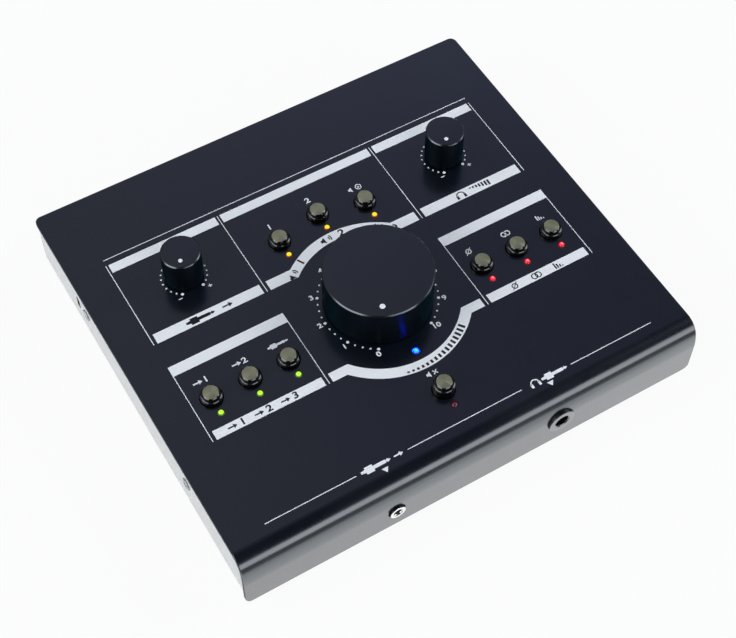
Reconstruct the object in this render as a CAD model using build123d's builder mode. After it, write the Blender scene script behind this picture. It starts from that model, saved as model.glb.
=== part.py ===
"""Desktop studio monitor controller: a folded steel case with rotary level
controls, alternate-action push buttons, indicator lamps and audio sockets.

Frame: millimetres, +Z up, +X to the right along the front, +Y to the back.
The origin is under the middle of the whole unit, on the surface it stands on.
"""
from build123d import *
import math
import os

# ---------------------------------------------------------------- driving sizes
# case
case_width = 215.0
case_depth = 191.6
case_height = 30.0            # cover top to tray underside
cover_thickness = 2.0
cover_bend_radius = 8.0       # outside of the fold along the front
cover_bend_angle = 75.0       # degrees that the fold turns, from the top down
cover_sweep_radius = 31.0     # outside of the long bend below it, which turns the rest
cover_corner_radius = 3.0
cover_edge_break = 0.25
tray_thickness = 1.2
tray_bend_radius = 2.0
tray_inset = 1.0              # the tray's sides stand this far inside the cover's edges
tray_clearance = 0.2          # between tray edges and the cover's inner faces
tray_lip_height = 5.0         # turned-up front edge of the tray, above its floor
foot_height = 5.0
foot_radius = 7.0
foot_taper = 1.2
foot_inset = 17.0             # foot centre in from the case's edges

# layout on the top panel: across from the middle or in from the sides, and back from the front face
master_back = 80.9
level_knob_inset = 42.7
level_knob_back = 132.3
button_pitch = 17.7
group_inset = 42.8            # middle button of the source and mix groups, in from the side
group_back = 73.2
speaker_across = 21.25
speaker_back = 127.5
speaker_middle_back = 131.9
mute_back = 29.3
lamp_offset = 8.3             # lamp centre in front of its button
master_lamp_back = 50.3

# rotary controls
shaft_radius = 3.0
shaft_flat = 1.4              # depth of the flat on the shaft's end
shaft_clearance = 0.05
shaft_depth = 6.0             # shaft length inside the control's body
master_body_width = 27.0
master_body_height = 20.0
master_bushing_radius = 4.5
level_body_width = 12.0
level_body_depth = 13.0
level_bushing_radius = 3.5
bushing_reach = 5.0           # bushing above the panel
bushing_hole_gap = 0.15
nut_height = 2.0
master_nut_flats = 14.0
level_nut_flats = 10.0
thread_gap = 0.05

# knobs
knob_gap = 1.0                # between panel and knob
knob_recess_gap = 0.5         # between bushing end and the recess in the knob
knob_wall = 2.0               # least wall around the recess
master_knob_radius = 23.35
master_knob_top = 21.3        # above the panel
level_knob_radius = 8.55
level_knob_top = 17.2
knob_edge_break = 0.6
knob_roof = 2.5               # left above the shaft's end
master_dot_radius = 1.2
master_dot_across = 18.4      # dot centre from the knob's axis
level_dot_radius = 0.9
level_dot_across = 4.75
dot_depth = 0.15
pointer_angle = 26.0          # rest pointer, degrees left of straight to the front

# push buttons
cap_radius = 4.75
cap_disc_radius = 3.6         # raised disc on the cap
cap_disc_height = 1.05        # above the cap's shoulder
cap_disc_break = 0.35
cap_shoulder_round = 1.0
cap_hole_gap = 0.3
cap_above_panel = 3.9         # face of a latched button above the panel
latch_travel = 2.2            # latched to released
press_travel = 0.6            # latched to fully pressed
cap_stop_gap = 0.2            # between a fully pressed cap and its switch
stem_width = 3.0
stem_gap = 0.1
stem_grip = 4.5               # stem length inside the cap
stem_collar_width = 5.4
stem_collar_height = 1.2
switch_width = 8.5
switch_height = 7.0
switch_wall = 1.0
switch_stop_gap = 0.05

# lamps
lamp_radius = 1.5
lamp_flange_radius = 1.9
lamp_flange_height = 1.0
lamp_height = 5.3
lamp_above_panel = 0.9
lamp_hole_gap = 0.1
lamp_spacer_radius = 2.1
lamp_lead_spacing = 2.54
lamp_lead_width = 0.5

# boards
board_thickness = 1.6
main_board_lift = 4.0         # main board above the tray's floor
control_board_drop = 9.4      # control board below the cover's underside
control_board_front = 16.0    # from the front face
control_board_back = 142.0
board_side_gap = 8.5          # control board's edge in from the tray's walls
main_board_side_gap = 5.3
main_board_front = 6.0
main_board_back_gap = 1.6
screw_radius = 1.5
screw_hole_radius = 1.6
screw_head_radius = 2.8
screw_head_height = 1.8
screw_head_taper = 8.0        # degrees
screw_slot_length = 3.1
screw_slot_width = 0.8
screw_slot_depth = 0.9
pillar_flats = 5.5
pillar_inset = 7.8            # in from the control board's sides
pillar_backs = (24.0, 135.0)
standoff_flats = 5.5
standoff_inset = 5.0          # in from the main board's sides
standoff_backs = (14.0, 88.0)
rear_standoff_gap = 4.4       # between the rear screw heads and the line sockets
board_screw_length = 5.0

# cover brackets and side screws
bracket_width = 14.0
bracket_leg = 2.0
bracket_foot = 12.0
bracket_backs = (50.5, 144.0)
side_screw_drop = 14.1        # screw axis below the panel
bracket_below_screw = 5.0
side_screw_length = 6.0
side_screw_head_height = 0.6  # low flat heads
side_screw_slot_depth = 0.4

# sockets at the front
socket_across = 39.2
phones_drop = 15.0            # socket axis below the panel
phones_body_width = 16.0
phones_body_length = 29.0
phones_body_height = 15.2
phones_bushing_radius = 6.1
phones_proud = 1.2
phones_hole_gap = 0.2
jack_bore_radius = 3.2        # takes a 6.35 mm plug
jack_bore_length = 26.0
jack_mouth_flare = 0.45
aux_drop = 18.6
aux_body_width = 12.0
aux_body_length = 14.0
aux_body_height = 8.0
aux_bushing_radius = 3.5
aux_bushing_length = 6.0
aux_proud = 1.1
aux_hole_gap = 0.5
aux_bore_radius = 1.8         # takes a 3.5 mm plug
aux_well_radius = 2.3

# sockets at the rear
rear_axis_lift = 7.0          # socket axes above the main board
rear_margin = 9.0             # from the case's sides to the first and last socket
line_jack_count = 7
line_body_width = 15.0
line_body_length = 25.0
line_body_height = 14.0
line_bushing_radius = 4.4
line_bushing_reach = 3.6      # beyond the rear wall
line_hole_gap = 0.2
line_nut_flats = 12.0
line_nut_height = 2.4
phono_count = 2
phono_body_width = 13.0
phono_body_length = 10.0
phono_body_height = 13.0
phono_barrel_radius = 4.15
phono_barrel_reach = 8.5
phono_collar_radius = 5.2     # moulded collar that fills the hole in the rear wall
phono_collar_reach = 0.4
phono_bore_radius = 1.65
phono_bore_length = 14.0
phono_hole_gap = 0.3
inlet_body_width = 9.0
inlet_body_length = 14.0
inlet_body_height = 11.0
inlet_nose_radius = 4.0
inlet_bore_radius = 3.1
inlet_bore_length = 10.0
inlet_pin_radius = 1.0
inlet_pin_recess = 1.2
inlet_hole_gap = 0.2

# power switch at the rear
power_bezel_width = 15.0
power_bezel_height = 10.6
power_bezel_thickness = 1.5
power_body_width = 13.4
power_body_height = 9.0
power_body_length = 11.0
power_body_gap = 0.15         # body in the rear wall's cut-out
power_wall = 1.0
rocker_width = 10.0
rocker_height = 6.6
rocker_valley = 1.2           # middle of the rocker beyond the bezel
rocker_horn = 2.0             # ends of the rocker beyond the bezel when level
rocker_root = 4.0             # rocker behind its pivot
rocker_pivot_depth = 3.0      # pivot in from the bezel's face
rocker_tilt = 8.0             # each way from level
rocker_pin_radius = 0.9
rocker_pin_reach = 0.6
rocker_pin_gap = 0.05

# parts on the main board
relay_size = (7.4, 15.0, 8.5)
relay_pitch = 13.0
relay_count = 6
relay_back = 118.0
capacitor_radius = 3.15
capacitor_height = 7.0
capacitor_pitch = 11.0
capacitor_count = 12
capacitor_gap = 12.0          # between the capacitors and the line sockets
chip_size = (4.9, 3.9, 1.6)
chip_pitch = 18.0
chip_columns = 10
chip_backs = (44.0, 98.0)
link_width = 20.4
link_depth = 5.0
link_socket_height = 8.5
link_inset = 38.8             # in from the control board's left side
link_back = 60.0

# lock slot in the left side
lock_slot_width = 3.0
lock_slot_height = 7.0
lock_slot_back = 152.7
lock_slot_drop = 15.3

# ---------------------------------------------------------------- derived places
front_reach = max(phones_proud, aux_proud)
rear_reach = max(phono_barrel_reach, line_bushing_reach)
front_y = front_reach - (front_reach + case_depth + rear_reach) / 2
rear_y = front_y + case_depth
panel_z = foot_height + case_height
under_z = panel_z - cover_thickness
floor_z = foot_height + tray_thickness
bend_turn = math.radians(cover_bend_angle)
sweep_z = (panel_z - cover_bend_radius * (1 - math.cos(bend_turn))
           - cover_sweep_radius * math.cos(bend_turn))
tray_half_width = case_width / 2 - tray_inset
tray_inner_half = tray_half_width - tray_thickness
tray_front_y = front_y + cover_thickness + tray_clearance
rear_inner_y = rear_y - tray_thickness
main_bottom_z = floor_z + main_board_lift
main_top_z = main_bottom_z + board_thickness
control_top_z = under_z - control_board_drop
control_bottom_z = control_top_z - board_thickness
cap_height = (cap_above_panel + cover_thickness + control_board_drop - switch_height
              - press_travel - cap_stop_gap)
side_screw_z = panel_z - side_screw_drop
phones_z = panel_z - phones_drop
aux_z = panel_z - aux_drop
rear_axis_z = main_top_z + rear_axis_lift
rear_body_y = rear_inner_y - tray_clearance
line_front_y = rear_body_y - line_body_length
control_board_half = tray_inner_half - board_side_gap
main_board_half = tray_inner_half - main_board_side_gap
level_knob_across = case_width / 2 - level_knob_inset
group_across = case_width / 2 - group_inset


def back(distance):
    """Y of a place that lies this far behind the front face."""
    return front_y + distance


def upright(y):
    """Plane across the case at y, facing the front, with local X and Z."""
    return Plane.XZ.offset(-y)


def rear_row():
    """Middles of the power switch, inlet and sockets, spread evenly along the rear wall."""
    widths = [power_bezel_width, inlet_body_width]
    widths += [phono_body_width] * phono_count + [line_body_width] * line_jack_count
    gap = (case_width - 2 * rear_margin - sum(widths)) / (len(widths) - 1)
    middles = []
    x = rear_margin - case_width / 2
    for width in widths:
        middles.append(x + width / 2)
        x += width + gap
    return middles


def front_set_back(z):
    """How far the inner face of the cover's front stands behind its flat part, at height z."""
    radius = cover_sweep_radius - cover_thickness
    rise = max(0.0, z - sweep_z)
    return radius - math.sqrt(radius**2 - rise**2)


def socket_front(body_height):
    """Y of the front of a socket's body, which stands just clear of the cover up to its top."""
    return front_y + cover_thickness + tray_clearance + front_set_back(main_top_z + body_height)


def case_section(inset):
    """Side view of the space inside the cover's outline: up the front, round the fold and back."""
    with BuildSketch(Plane.YZ) as section:
        with BuildLine():
            face = Line((front_y + inset, foot_height), (front_y + inset, sweep_z))
            sweep = JernArc(face @ 1, face % 1, cover_sweep_radius - inset, cover_bend_angle - 90)
            fold = JernArc(sweep @ 1, sweep % 1, cover_bend_radius - inset, -cover_bend_angle)
            Polyline(fold @ 1, (rear_y, panel_z - inset), (rear_y, foot_height), face @ 0)
        make_face()
    return section.sketch


def hexagon_radius(flats):
    """Corner radius of a hexagon from its width across flats."""
    return flats / math.sqrt(3)


master_place = (0.0, back(master_back))
level_places = {
    "aux": (-level_knob_across, back(level_knob_back)),
    "phones": (level_knob_across, back(level_knob_back)),
}
button_places = {
    "speaker_a": (-speaker_across, back(speaker_back)),
    "speaker_b": (0.0, back(speaker_middle_back)),
    "speaker_sub": (speaker_across, back(speaker_back)),
    "mute": (0.0, back(mute_back)),
}
for number in (1, 2, 3):
    shift = button_pitch * (number - 2)
    button_places[f"source_{number}"] = (-group_across + shift, back(group_back))
for number, name in enumerate(("phase", "mono", "dim")):
    shift = button_pitch * (number - 1)
    button_places[name] = (group_across + shift, back(group_back))
lamp_places = {name: (x, y - lamp_offset) for name, (x, y) in button_places.items()}
lamp_places["master"] = (0.0, back(master_lamp_back))

pillar_places = [(side * (control_board_half - pillar_inset), back(depth))
                 for side in (-1, 1) for depth in pillar_backs]
rear_standoff_y = line_front_y - rear_standoff_gap - screw_head_radius
standoff_places = [(side * (main_board_half - standoff_inset), y)
                   for side in (-1, 1) for y in [*map(back, standoff_backs), rear_standoff_y]]
bracket_places = [(side, back(depth)) for side in (-1, 1) for depth in bracket_backs]
power_x, inlet_x, *socket_xs = rear_row()
phono_xs = socket_xs[:phono_count]
line_jack_xs = socket_xs[phono_count:]


def save(piece, name):
    """Label a finished piece and write it as one STEP file."""
    piece.part.label = name
    export_step(piece.part, f"parts/{name}.step")


# ---------------------------------------------------------------- case
def make_top_cover():
    """Top and front in one sheet, folded along the front, with every panel hole."""
    with BuildPart() as cover:
        extrude(case_section(0), amount=case_width / 2, both=True)
        extrude(case_section(cover_thickness), amount=case_width / 2, both=True, mode=Mode.SUBTRACT)
        lower_corners = cover.edges().filter_by(Axis.Y).group_by(Axis.Z)[0]
        fillet(lower_corners, cover_corner_radius)
        rear_corners = cover.edges().filter_by(Axis.Z).group_by(Axis.Y)[-1]
        fillet(rear_corners, cover_corner_radius)
        outer_faces = [cover.faces().sort_by(Axis.Z)[-1], cover.faces().sort_by(Axis.Y)[0]]
        rims = [face.edges().filter_by(lambda e: abs(e.center().X) > case_width / 2 - cover_corner_radius)
                for face in outer_faces]
        chamfer(rims[0] + rims[1], cover_edge_break)
        with BuildSketch(Plane.XY.offset(panel_z)):
            with Locations(master_place):
                Circle(master_bushing_radius + bushing_hole_gap)
            with Locations(*level_places.values()):
                Circle(level_bushing_radius + bushing_hole_gap)
            with Locations(*button_places.values()):
                Circle(cap_radius + cap_hole_gap)
            with Locations(*lamp_places.values()):
                Circle(lamp_radius + lamp_hole_gap)
        extrude(amount=-cover_thickness, mode=Mode.SUBTRACT)
        with BuildSketch(upright(front_y)):
            with Locations((socket_across, phones_z)):
                Circle(phones_bushing_radius + phones_hole_gap)
            with Locations((-socket_across, aux_z)):
                Circle(aux_bushing_radius + aux_hole_gap)
        extrude(amount=-2 * cover_thickness, mode=Mode.SUBTRACT)
    save(cover, "top_cover")


def make_base_tray():
    """Floor, both sides and rear wall in one folded sheet, with a low front lip."""
    depth = rear_y - tray_front_y
    height = under_z - tray_clearance - foot_height
    with BuildPart() as tray:
        with Locations((0, tray_front_y, foot_height)):
            Box(2 * tray_half_width, depth, height, align=(Align.CENTER, Align.MIN, Align.MIN))
        fillet(tray.edges().group_by(Axis.Z)[0], tray_bend_radius)
        with BuildPart(mode=Mode.PRIVATE) as hollow:
            with Locations((0, tray_front_y + tray_thickness, floor_z)):
                Box(2 * tray_inner_half, depth - 2 * tray_thickness, height,
                    align=(Align.CENTER, Align.MIN, Align.MIN))
            fillet(hollow.edges().group_by(Axis.Z)[0], tray_bend_radius - tray_thickness)
        add(hollow.part, mode=Mode.SUBTRACT)
        with Locations((0, tray_front_y, floor_z + tray_lip_height)):
            Box(2 * tray_inner_half, tray_thickness, height,
                align=(Align.CENTER, Align.MIN, Align.MIN), mode=Mode.SUBTRACT)
        extrude(case_section(cover_thickness + tray_clearance), amount=tray_half_width, both=True,
                mode=Mode.INTERSECT)
        with BuildSketch(upright(rear_y)):
            with Locations(*[(x, rear_axis_z) for x in line_jack_xs]):
                Circle(line_bushing_radius + line_hole_gap)
            with Locations(*[(x, rear_axis_z) for x in phono_xs]):
                Circle(phono_collar_radius + phono_hole_gap)
            with Locations((inlet_x, rear_axis_z)):
                Circle(inlet_nose_radius + inlet_hole_gap)
            with Locations((power_x, rear_axis_z)):
                Rectangle(power_body_width + 2 * power_body_gap, power_body_height + 2 * power_body_gap)
        extrude(amount=tray_thickness, mode=Mode.SUBTRACT)
        with BuildSketch(Plane.YZ.offset(-tray_half_width)):
            with Locations((back(lock_slot_back), panel_z - lock_slot_drop)):
                SlotCenterToCenter(lock_slot_height - lock_slot_width, lock_slot_width, rotation=90)
        extrude(amount=tray_thickness, mode=Mode.SUBTRACT)
        with BuildSketch(Plane.YZ.offset(-tray_half_width)):
            with Locations(*[(back(depth), side_screw_z) for depth in bracket_backs]):
                Circle(screw_hole_radius)
        extrude(amount=2 * tray_half_width, mode=Mode.SUBTRACT)
    save(tray, "base_tray")


def make_cover_brackets():
    """Angle brackets under the cover, tapped for the screws through the tray's sides."""
    leg_outer = tray_inner_half - tray_clearance
    leg_bottom = side_screw_z - bracket_below_screw
    with BuildPart() as brackets:
        for side, y in bracket_places:
            with BuildSketch(upright(y + bracket_width / 2)):
                with BuildLine():
                    Polyline(
                        (side * leg_outer, under_z),
                        (side * leg_outer, leg_bottom),
                        (side * (leg_outer - bracket_leg), leg_bottom),
                        (side * (leg_outer - bracket_leg), under_z - bracket_leg),
                        (side * (leg_outer - bracket_foot), under_z - bracket_leg),
                        (side * (leg_outer - bracket_foot), under_z),
                        close=True,
                    )
                make_face()
            extrude(amount=bracket_width)
        with BuildSketch(Plane.YZ.offset(-leg_outer)):
            with Locations(*[(back(depth), side_screw_z) for depth in bracket_backs]):
                Circle(screw_radius + thread_gap)
        extrude(amount=2 * leg_outer, mode=Mode.SUBTRACT)
    save(brackets, "cover_brackets")


def make_screws(name, seats, length, head_height, slot_depth):
    """Cross-recess screws: each head stands on its seat and its shank goes below."""
    with BuildPart() as screws:
        for seat in seats:
            with BuildSketch(seat):
                Circle(screw_head_radius)
            extrude(amount=head_height, taper=screw_head_taper)
            with BuildSketch(seat.offset(head_height)):
                Rectangle(screw_slot_length, screw_slot_width)
                Rectangle(screw_slot_width, screw_slot_length)
            extrude(amount=-slot_depth, mode=Mode.SUBTRACT)
            with BuildSketch(seat):
                Circle(screw_radius)
            extrude(amount=-length)
    save(screws, name)


def make_side_screws():
    """Screws through the tray's sides into the cover's brackets."""
    seats = [
        Plane(origin=(side * tray_half_width, y, side_screw_z), z_dir=(side, 0, 0))
        for side, y in bracket_places
    ]
    make_screws("side_screws", seats, side_screw_length, side_screw_head_height, side_screw_slot_depth)


def make_rubber_feet():
    """Turned feet stuck to the tray's underside."""
    foot_x = case_width / 2 - foot_inset
    with BuildPart() as feet:
        with BuildSketch(Plane.XY.offset(foot_height)):
            with Locations(*[(side * foot_x, y) for side in (-1, 1)
                             for y in (front_y + foot_inset, rear_y - foot_inset)]):
                Circle(foot_radius)
        extrude(amount=-foot_height, taper=math.degrees(math.atan(foot_taper / foot_height)))
        fillet(feet.edges().group_by(Axis.Z)[0], foot_height / 5)
    save(feet, "rubber_feet")


# ---------------------------------------------------------------- boards
def make_panel_pillars():
    """Hexagon spacers pressed into the cover's underside, which carry the control board."""
    with BuildPart() as pillars:
        with BuildSketch(Plane.XY.offset(control_top_z)):
            with Locations(*pillar_places):
                RegularPolygon(hexagon_radius(pillar_flats), 6)
                Circle(screw_radius + thread_gap, mode=Mode.SUBTRACT)
        extrude(amount=control_board_drop)
    save(pillars, "panel_pillars")


def make_board_standoffs():
    """Hexagon standoffs pressed into the tray's floor, which carry the main board."""
    with BuildPart() as standoffs:
        with BuildSketch(Plane.XY.offset(floor_z)):
            with Locations(*standoff_places):
                RegularPolygon(hexagon_radius(standoff_flats), 6)
                Circle(screw_radius + thread_gap, mode=Mode.SUBTRACT)
        extrude(amount=main_board_lift)
    save(standoffs, "board_standoffs")


def make_board_screws():
    """Screws up into the pillars and down into the standoffs."""
    upward = [Plane(origin=(x, y, control_bottom_z), z_dir=(0, 0, -1)) for x, y in pillar_places]
    downward = [Plane(origin=(x, y, main_top_z), z_dir=(0, 0, 1)) for x, y in standoff_places]
    make_screws("board_screws", upward + downward, board_screw_length, screw_head_height, screw_slot_depth)


def make_control_board():
    """Board under the panel, cut away around the master control and the phones socket."""
    depth = control_board_back - control_board_front
    phones_cut = phones_body_width + 2
    phones_cut_depth = socket_front(phones_body_height) + phones_body_length + 1 - back(control_board_front)
    with BuildPart() as board:
        with BuildSketch(Plane.XY.offset(control_bottom_z)):
            with Locations((0, back(control_board_front))):
                Rectangle(2 * control_board_half, depth, align=(Align.CENTER, Align.MIN))
            with Locations(master_place):
                Rectangle(master_body_width + 1, master_body_width + 1, mode=Mode.SUBTRACT)
            with Locations((socket_across, back(control_board_front))):
                Rectangle(phones_cut, phones_cut_depth, align=(Align.CENTER, Align.MIN),
                          mode=Mode.SUBTRACT)
            with Locations(*pillar_places):
                Circle(screw_hole_radius, mode=Mode.SUBTRACT)
        extrude(amount=board_thickness)
    save(board, "control_board")


def make_main_board():
    depth = case_depth - tray_thickness - main_board_back_gap - main_board_front
    with BuildPart() as board:
        with BuildSketch(Plane.XY.offset(main_bottom_z)):
            with Locations((0, back(main_board_front))):
                Rectangle(2 * main_board_half, depth, align=(Align.CENTER, Align.MIN))
            with Locations(*standoff_places):
                Circle(screw_hole_radius, mode=Mode.SUBTRACT)
        extrude(amount=board_thickness)
    save(board, "main_board")


def make_board_link():
    """Stacking connector between the boards: a socket below and a pin header above."""
    x = link_inset - control_board_half
    y = back(link_back)
    header_height = control_bottom_z - main_top_z - link_socket_height
    with BuildPart() as link:
        with Locations((x, y, main_top_z)):
            Box(link_width, link_depth, link_socket_height, align=(Align.CENTER, Align.CENTER, Align.MIN))
        with Locations((x, y, control_bottom_z - header_height)):
            Box(link_width, link_depth, header_height, align=(Align.CENTER, Align.CENTER, Align.MIN))
    save(link, "board_link")


def make_relays():
    width, depth, height = relay_size
    first = -relay_pitch * (relay_count - 1) / 2
    with BuildPart() as relays:
        with Locations(*[(first + relay_pitch * i, back(relay_back), main_top_z)
                         for i in range(relay_count)]):
            Box(width, depth, height, align=(Align.CENTER, Align.CENTER, Align.MIN))
        fillet(relays.edges().filter_by(Axis.Z), 0.6)
    save(relays, "relays")


def make_capacitors():
    first = -capacitor_pitch * (capacitor_count - 1) / 2
    y = line_front_y - capacitor_gap - capacitor_radius
    with BuildPart() as capacitors:
        with BuildSketch(Plane.XY.offset(main_top_z)):
            with Locations(*[(first + capacitor_pitch * i, y) for i in range(capacitor_count)]):
                Circle(capacitor_radius)
        extrude(amount=capacitor_height)
        fillet(capacitors.edges().group_by(Axis.Z)[-1], 0.5)
    save(capacitors, "capacitors")


def make_audio_chips():
    width, depth, height = chip_size
    first = -chip_pitch * (chip_columns - 1) / 2
    with BuildPart() as chips:
        with Locations(*[(first + chip_pitch * i, back(depth_back), main_top_z)
                         for i in range(chip_columns) for depth_back in chip_backs]):
            Box(width, depth, height, align=(Align.CENTER, Align.CENTER, Align.MIN))
    save(chips, "audio_chips")


# ---------------------------------------------------------------- rotary controls
def make_control(name, place, body_size, bushing_radius):
    """Sealed rotary control: a body under the cover with a threaded bushing through it."""
    width, depth, height = body_size
    with BuildPart() as body:
        with BuildSketch(Plane.XY.offset(under_z - height)):
            with Locations(place):
                RectangleRounded(width, depth, 1.0)
        extrude(amount=height)
        with BuildSketch(Plane.XY.offset(under_z)):
            with Locations(place):
                Circle(bushing_radius)
        extrude(amount=cover_thickness + bushing_reach)
        with BuildSketch(Plane.XY.offset(under_z - shaft_depth)):
            with Locations(place):
                Circle(shaft_radius + shaft_clearance)
        extrude(amount=shaft_depth + cover_thickness + bushing_reach, mode=Mode.SUBTRACT)
    save(body, f"{name}_control_body")


def make_shaft(name, place, knob_top):
    """Steel shaft: round in its bearing, flatted where it drives the knob."""
    bottom = under_z - shaft_depth + shaft_clearance
    flat_start = panel_z + bushing_reach + knob_recess_gap
    top = panel_z + knob_top - knob_roof
    flat_place = (place[0], place[1] + shaft_radius - shaft_flat)
    with BuildPart() as shaft:
        with BuildSketch(Plane.XY.offset(bottom)):
            with Locations(place):
                Circle(shaft_radius)
        extrude(amount=top - bottom)
        with BuildSketch(Plane.XY.offset(flat_start)):
            with Locations(flat_place):
                Rectangle(2 * shaft_radius, 2 * shaft_flat, align=(Align.CENTER, Align.MIN))
        extrude(amount=top - flat_start, mode=Mode.SUBTRACT)
    save(shaft, f"{name}_shaft")


def make_knob(name, place, radius, top, recess_radius, dot_across, dot_radius):
    """Turned knob with a flatted bore, a recess over the nut and a pointer dot."""
    bottom_z = panel_z + knob_gap
    top_z = panel_z + top
    recess_top = panel_z + bushing_reach + knob_recess_gap
    angle = math.radians(pointer_angle)
    dot_place = (place[0] - dot_across * math.sin(angle), place[1] - dot_across * math.cos(angle))
    flat_place = (place[0], place[1] + shaft_radius - shaft_flat)
    with BuildPart() as knob:
        with BuildSketch(Plane.XY.offset(bottom_z)):
            with Locations(place):
                Circle(radius)
        extrude(amount=top_z - bottom_z)
        chamfer(knob.edges().group_by(Axis.Z)[-1], knob_edge_break)
        with BuildSketch(Plane.XY.offset(bottom_z)):
            with Locations(place):
                Circle(recess_radius)
        extrude(amount=recess_top - bottom_z, mode=Mode.SUBTRACT)
        with BuildSketch(Plane.XY.offset(recess_top)):
            with Locations(place):
                Circle(shaft_radius)
            with Locations(flat_place):
                Rectangle(2 * shaft_radius, 2 * shaft_flat, align=(Align.CENTER, Align.MIN),
                          mode=Mode.SUBTRACT)
        extrude(amount=top_z - knob_roof - recess_top, mode=Mode.SUBTRACT)
        with BuildSketch(Plane.XY.offset(top_z)):
            with Locations(dot_place):
                Circle(dot_radius)
        extrude(amount=-dot_depth, mode=Mode.SUBTRACT)
    save(knob, f"{name}_knob")


def make_control_nuts():
    """Nuts on the bushings, hidden in the knobs' recesses."""
    with BuildPart() as nuts:
        with BuildSketch(Plane.XY.offset(panel_z)):
            with Locations(master_place):
                RegularPolygon(hexagon_radius(master_nut_flats), 6)
                Circle(master_bushing_radius + thread_gap, mode=Mode.SUBTRACT)
            with Locations(*level_places.values()):
                RegularPolygon(hexagon_radius(level_nut_flats), 6)
                Circle(level_bushing_radius + thread_gap, mode=Mode.SUBTRACT)
        extrude(amount=nut_height)
    save(nuts, "control_nuts")


def make_rotary_controls():
    make_control("master", master_place, (master_body_width, master_body_width, master_body_height),
                 master_bushing_radius)
    make_shaft("master", master_place, master_knob_top)
    make_knob("master", master_place, master_knob_radius, master_knob_top,
              hexagon_radius(master_nut_flats) + knob_recess_gap, master_dot_across, master_dot_radius)
    level_recess = min(hexagon_radius(level_nut_flats) + knob_recess_gap, level_knob_radius - knob_wall)
    for name, place in level_places.items():
        make_control(name, place, (level_body_width, level_body_depth, control_board_drop),
                     level_bushing_radius)
        make_shaft(name, place, level_knob_top)
        make_knob(name, place, level_knob_radius, level_knob_top, level_recess,
                  level_dot_across, level_dot_radius)
    make_control_nuts()


# ---------------------------------------------------------------- push buttons
def face_height(name):
    """Height of a button's face at rest: the mute button stands released, the rest are in."""
    return panel_z + cap_above_panel + (latch_travel if name == "mute" else 0.0)


def make_cap(name, place):
    """Round cap with a raised disc, a rounded shoulder and a square socket for the stem."""
    face_z = face_height(name)
    bottom_z = face_z - cap_height
    shoulder_z = face_z - cap_disc_height
    with BuildPart() as cap:
        with BuildSketch(Plane.XY.offset(bottom_z)):
            with Locations(place):
                Circle(cap_radius)
        extrude(amount=shoulder_z - bottom_z)
        fillet(cap.edges().group_by(Axis.Z)[-1], cap_shoulder_round)
        with BuildSketch(Plane.XY.offset(shoulder_z)):
            with Locations(place):
                Circle(cap_disc_radius)
        extrude(amount=cap_disc_height)
        chamfer(cap.edges().group_by(Axis.Z)[-1], cap_disc_break)
        with BuildSketch(Plane.XY.offset(bottom_z)):
            with Locations(place):
                Rectangle(stem_width, stem_width)
        extrude(amount=stem_grip, mode=Mode.SUBTRACT)
    save(cap, f"{name}_button")


def make_stem(name, place):
    """Square plunger of the push switch, with a collar that keeps it in the housing."""
    cap_bottom = face_height(name) - cap_height
    rise = 0.0 if name == "mute" else -latch_travel
    collar_top = control_top_z + switch_height - switch_wall - switch_stop_gap + rise
    with BuildPart() as stem:
        with BuildSketch(Plane.XY.offset(collar_top - stem_collar_height)):
            with Locations(place):
                Rectangle(stem_collar_width, stem_collar_width)
        extrude(amount=stem_collar_height)
        with BuildSketch(Plane.XY.offset(collar_top)):
            with Locations(place):
                Rectangle(stem_width, stem_width)
        extrude(amount=cap_bottom + stem_grip - collar_top)
    save(stem, f"{name}_plunger")


def make_switch_housings():
    """Housings of the push switches on the control board, each hollow round its plunger."""
    cavity_width = stem_collar_width + 2 * stem_gap
    with BuildPart() as housings:
        with BuildSketch(Plane.XY.offset(control_top_z)):
            with Locations(*button_places.values()):
                Rectangle(switch_width, switch_width)
        extrude(amount=switch_height)
        with BuildSketch(Plane.XY.offset(control_top_z + switch_wall)):
            with Locations(*button_places.values()):
                Rectangle(cavity_width, cavity_width)
        extrude(amount=switch_height - 2 * switch_wall, mode=Mode.SUBTRACT)
        with BuildSketch(Plane.XY.offset(control_top_z + switch_height)):
            with Locations(*button_places.values()):
                Rectangle(stem_width + 2 * stem_gap, stem_width + 2 * stem_gap)
        extrude(amount=-switch_wall, mode=Mode.SUBTRACT)
    save(housings, "switch_housings")


def make_buttons():
    for name, place in button_places.items():
        make_cap(name, place)
        make_stem(name, place)
    make_switch_housings()


# ---------------------------------------------------------------- lamps
def make_lamps(node, names):
    """Round-topped indicator lamps with their base flange and leads."""
    places = [lamp_places[name] for name in names]
    top_z = panel_z + lamp_above_panel
    bottom_z = top_z - lamp_height
    with BuildPart() as lamps:
        with BuildSketch(Plane.XY.offset(bottom_z)):
            with Locations(*places):
                Circle(lamp_flange_radius)
        extrude(amount=lamp_flange_height)
        with BuildSketch(Plane.XY.offset(bottom_z)):
            with Locations(*places):
                Circle(lamp_radius)
        extrude(amount=lamp_height - lamp_radius)
        with Locations(*[(x, y, top_z - lamp_radius) for x, y in places]):
            Sphere(lamp_radius)
        with BuildSketch(Plane.XY.offset(bottom_z)):
            for x, y in places:
                with Locations((x - lamp_lead_spacing / 2, y), (x + lamp_lead_spacing / 2, y)):
                    Rectangle(lamp_lead_width, lamp_lead_width)
        extrude(amount=control_top_z - bottom_z)
    save(lamps, node)


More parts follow.
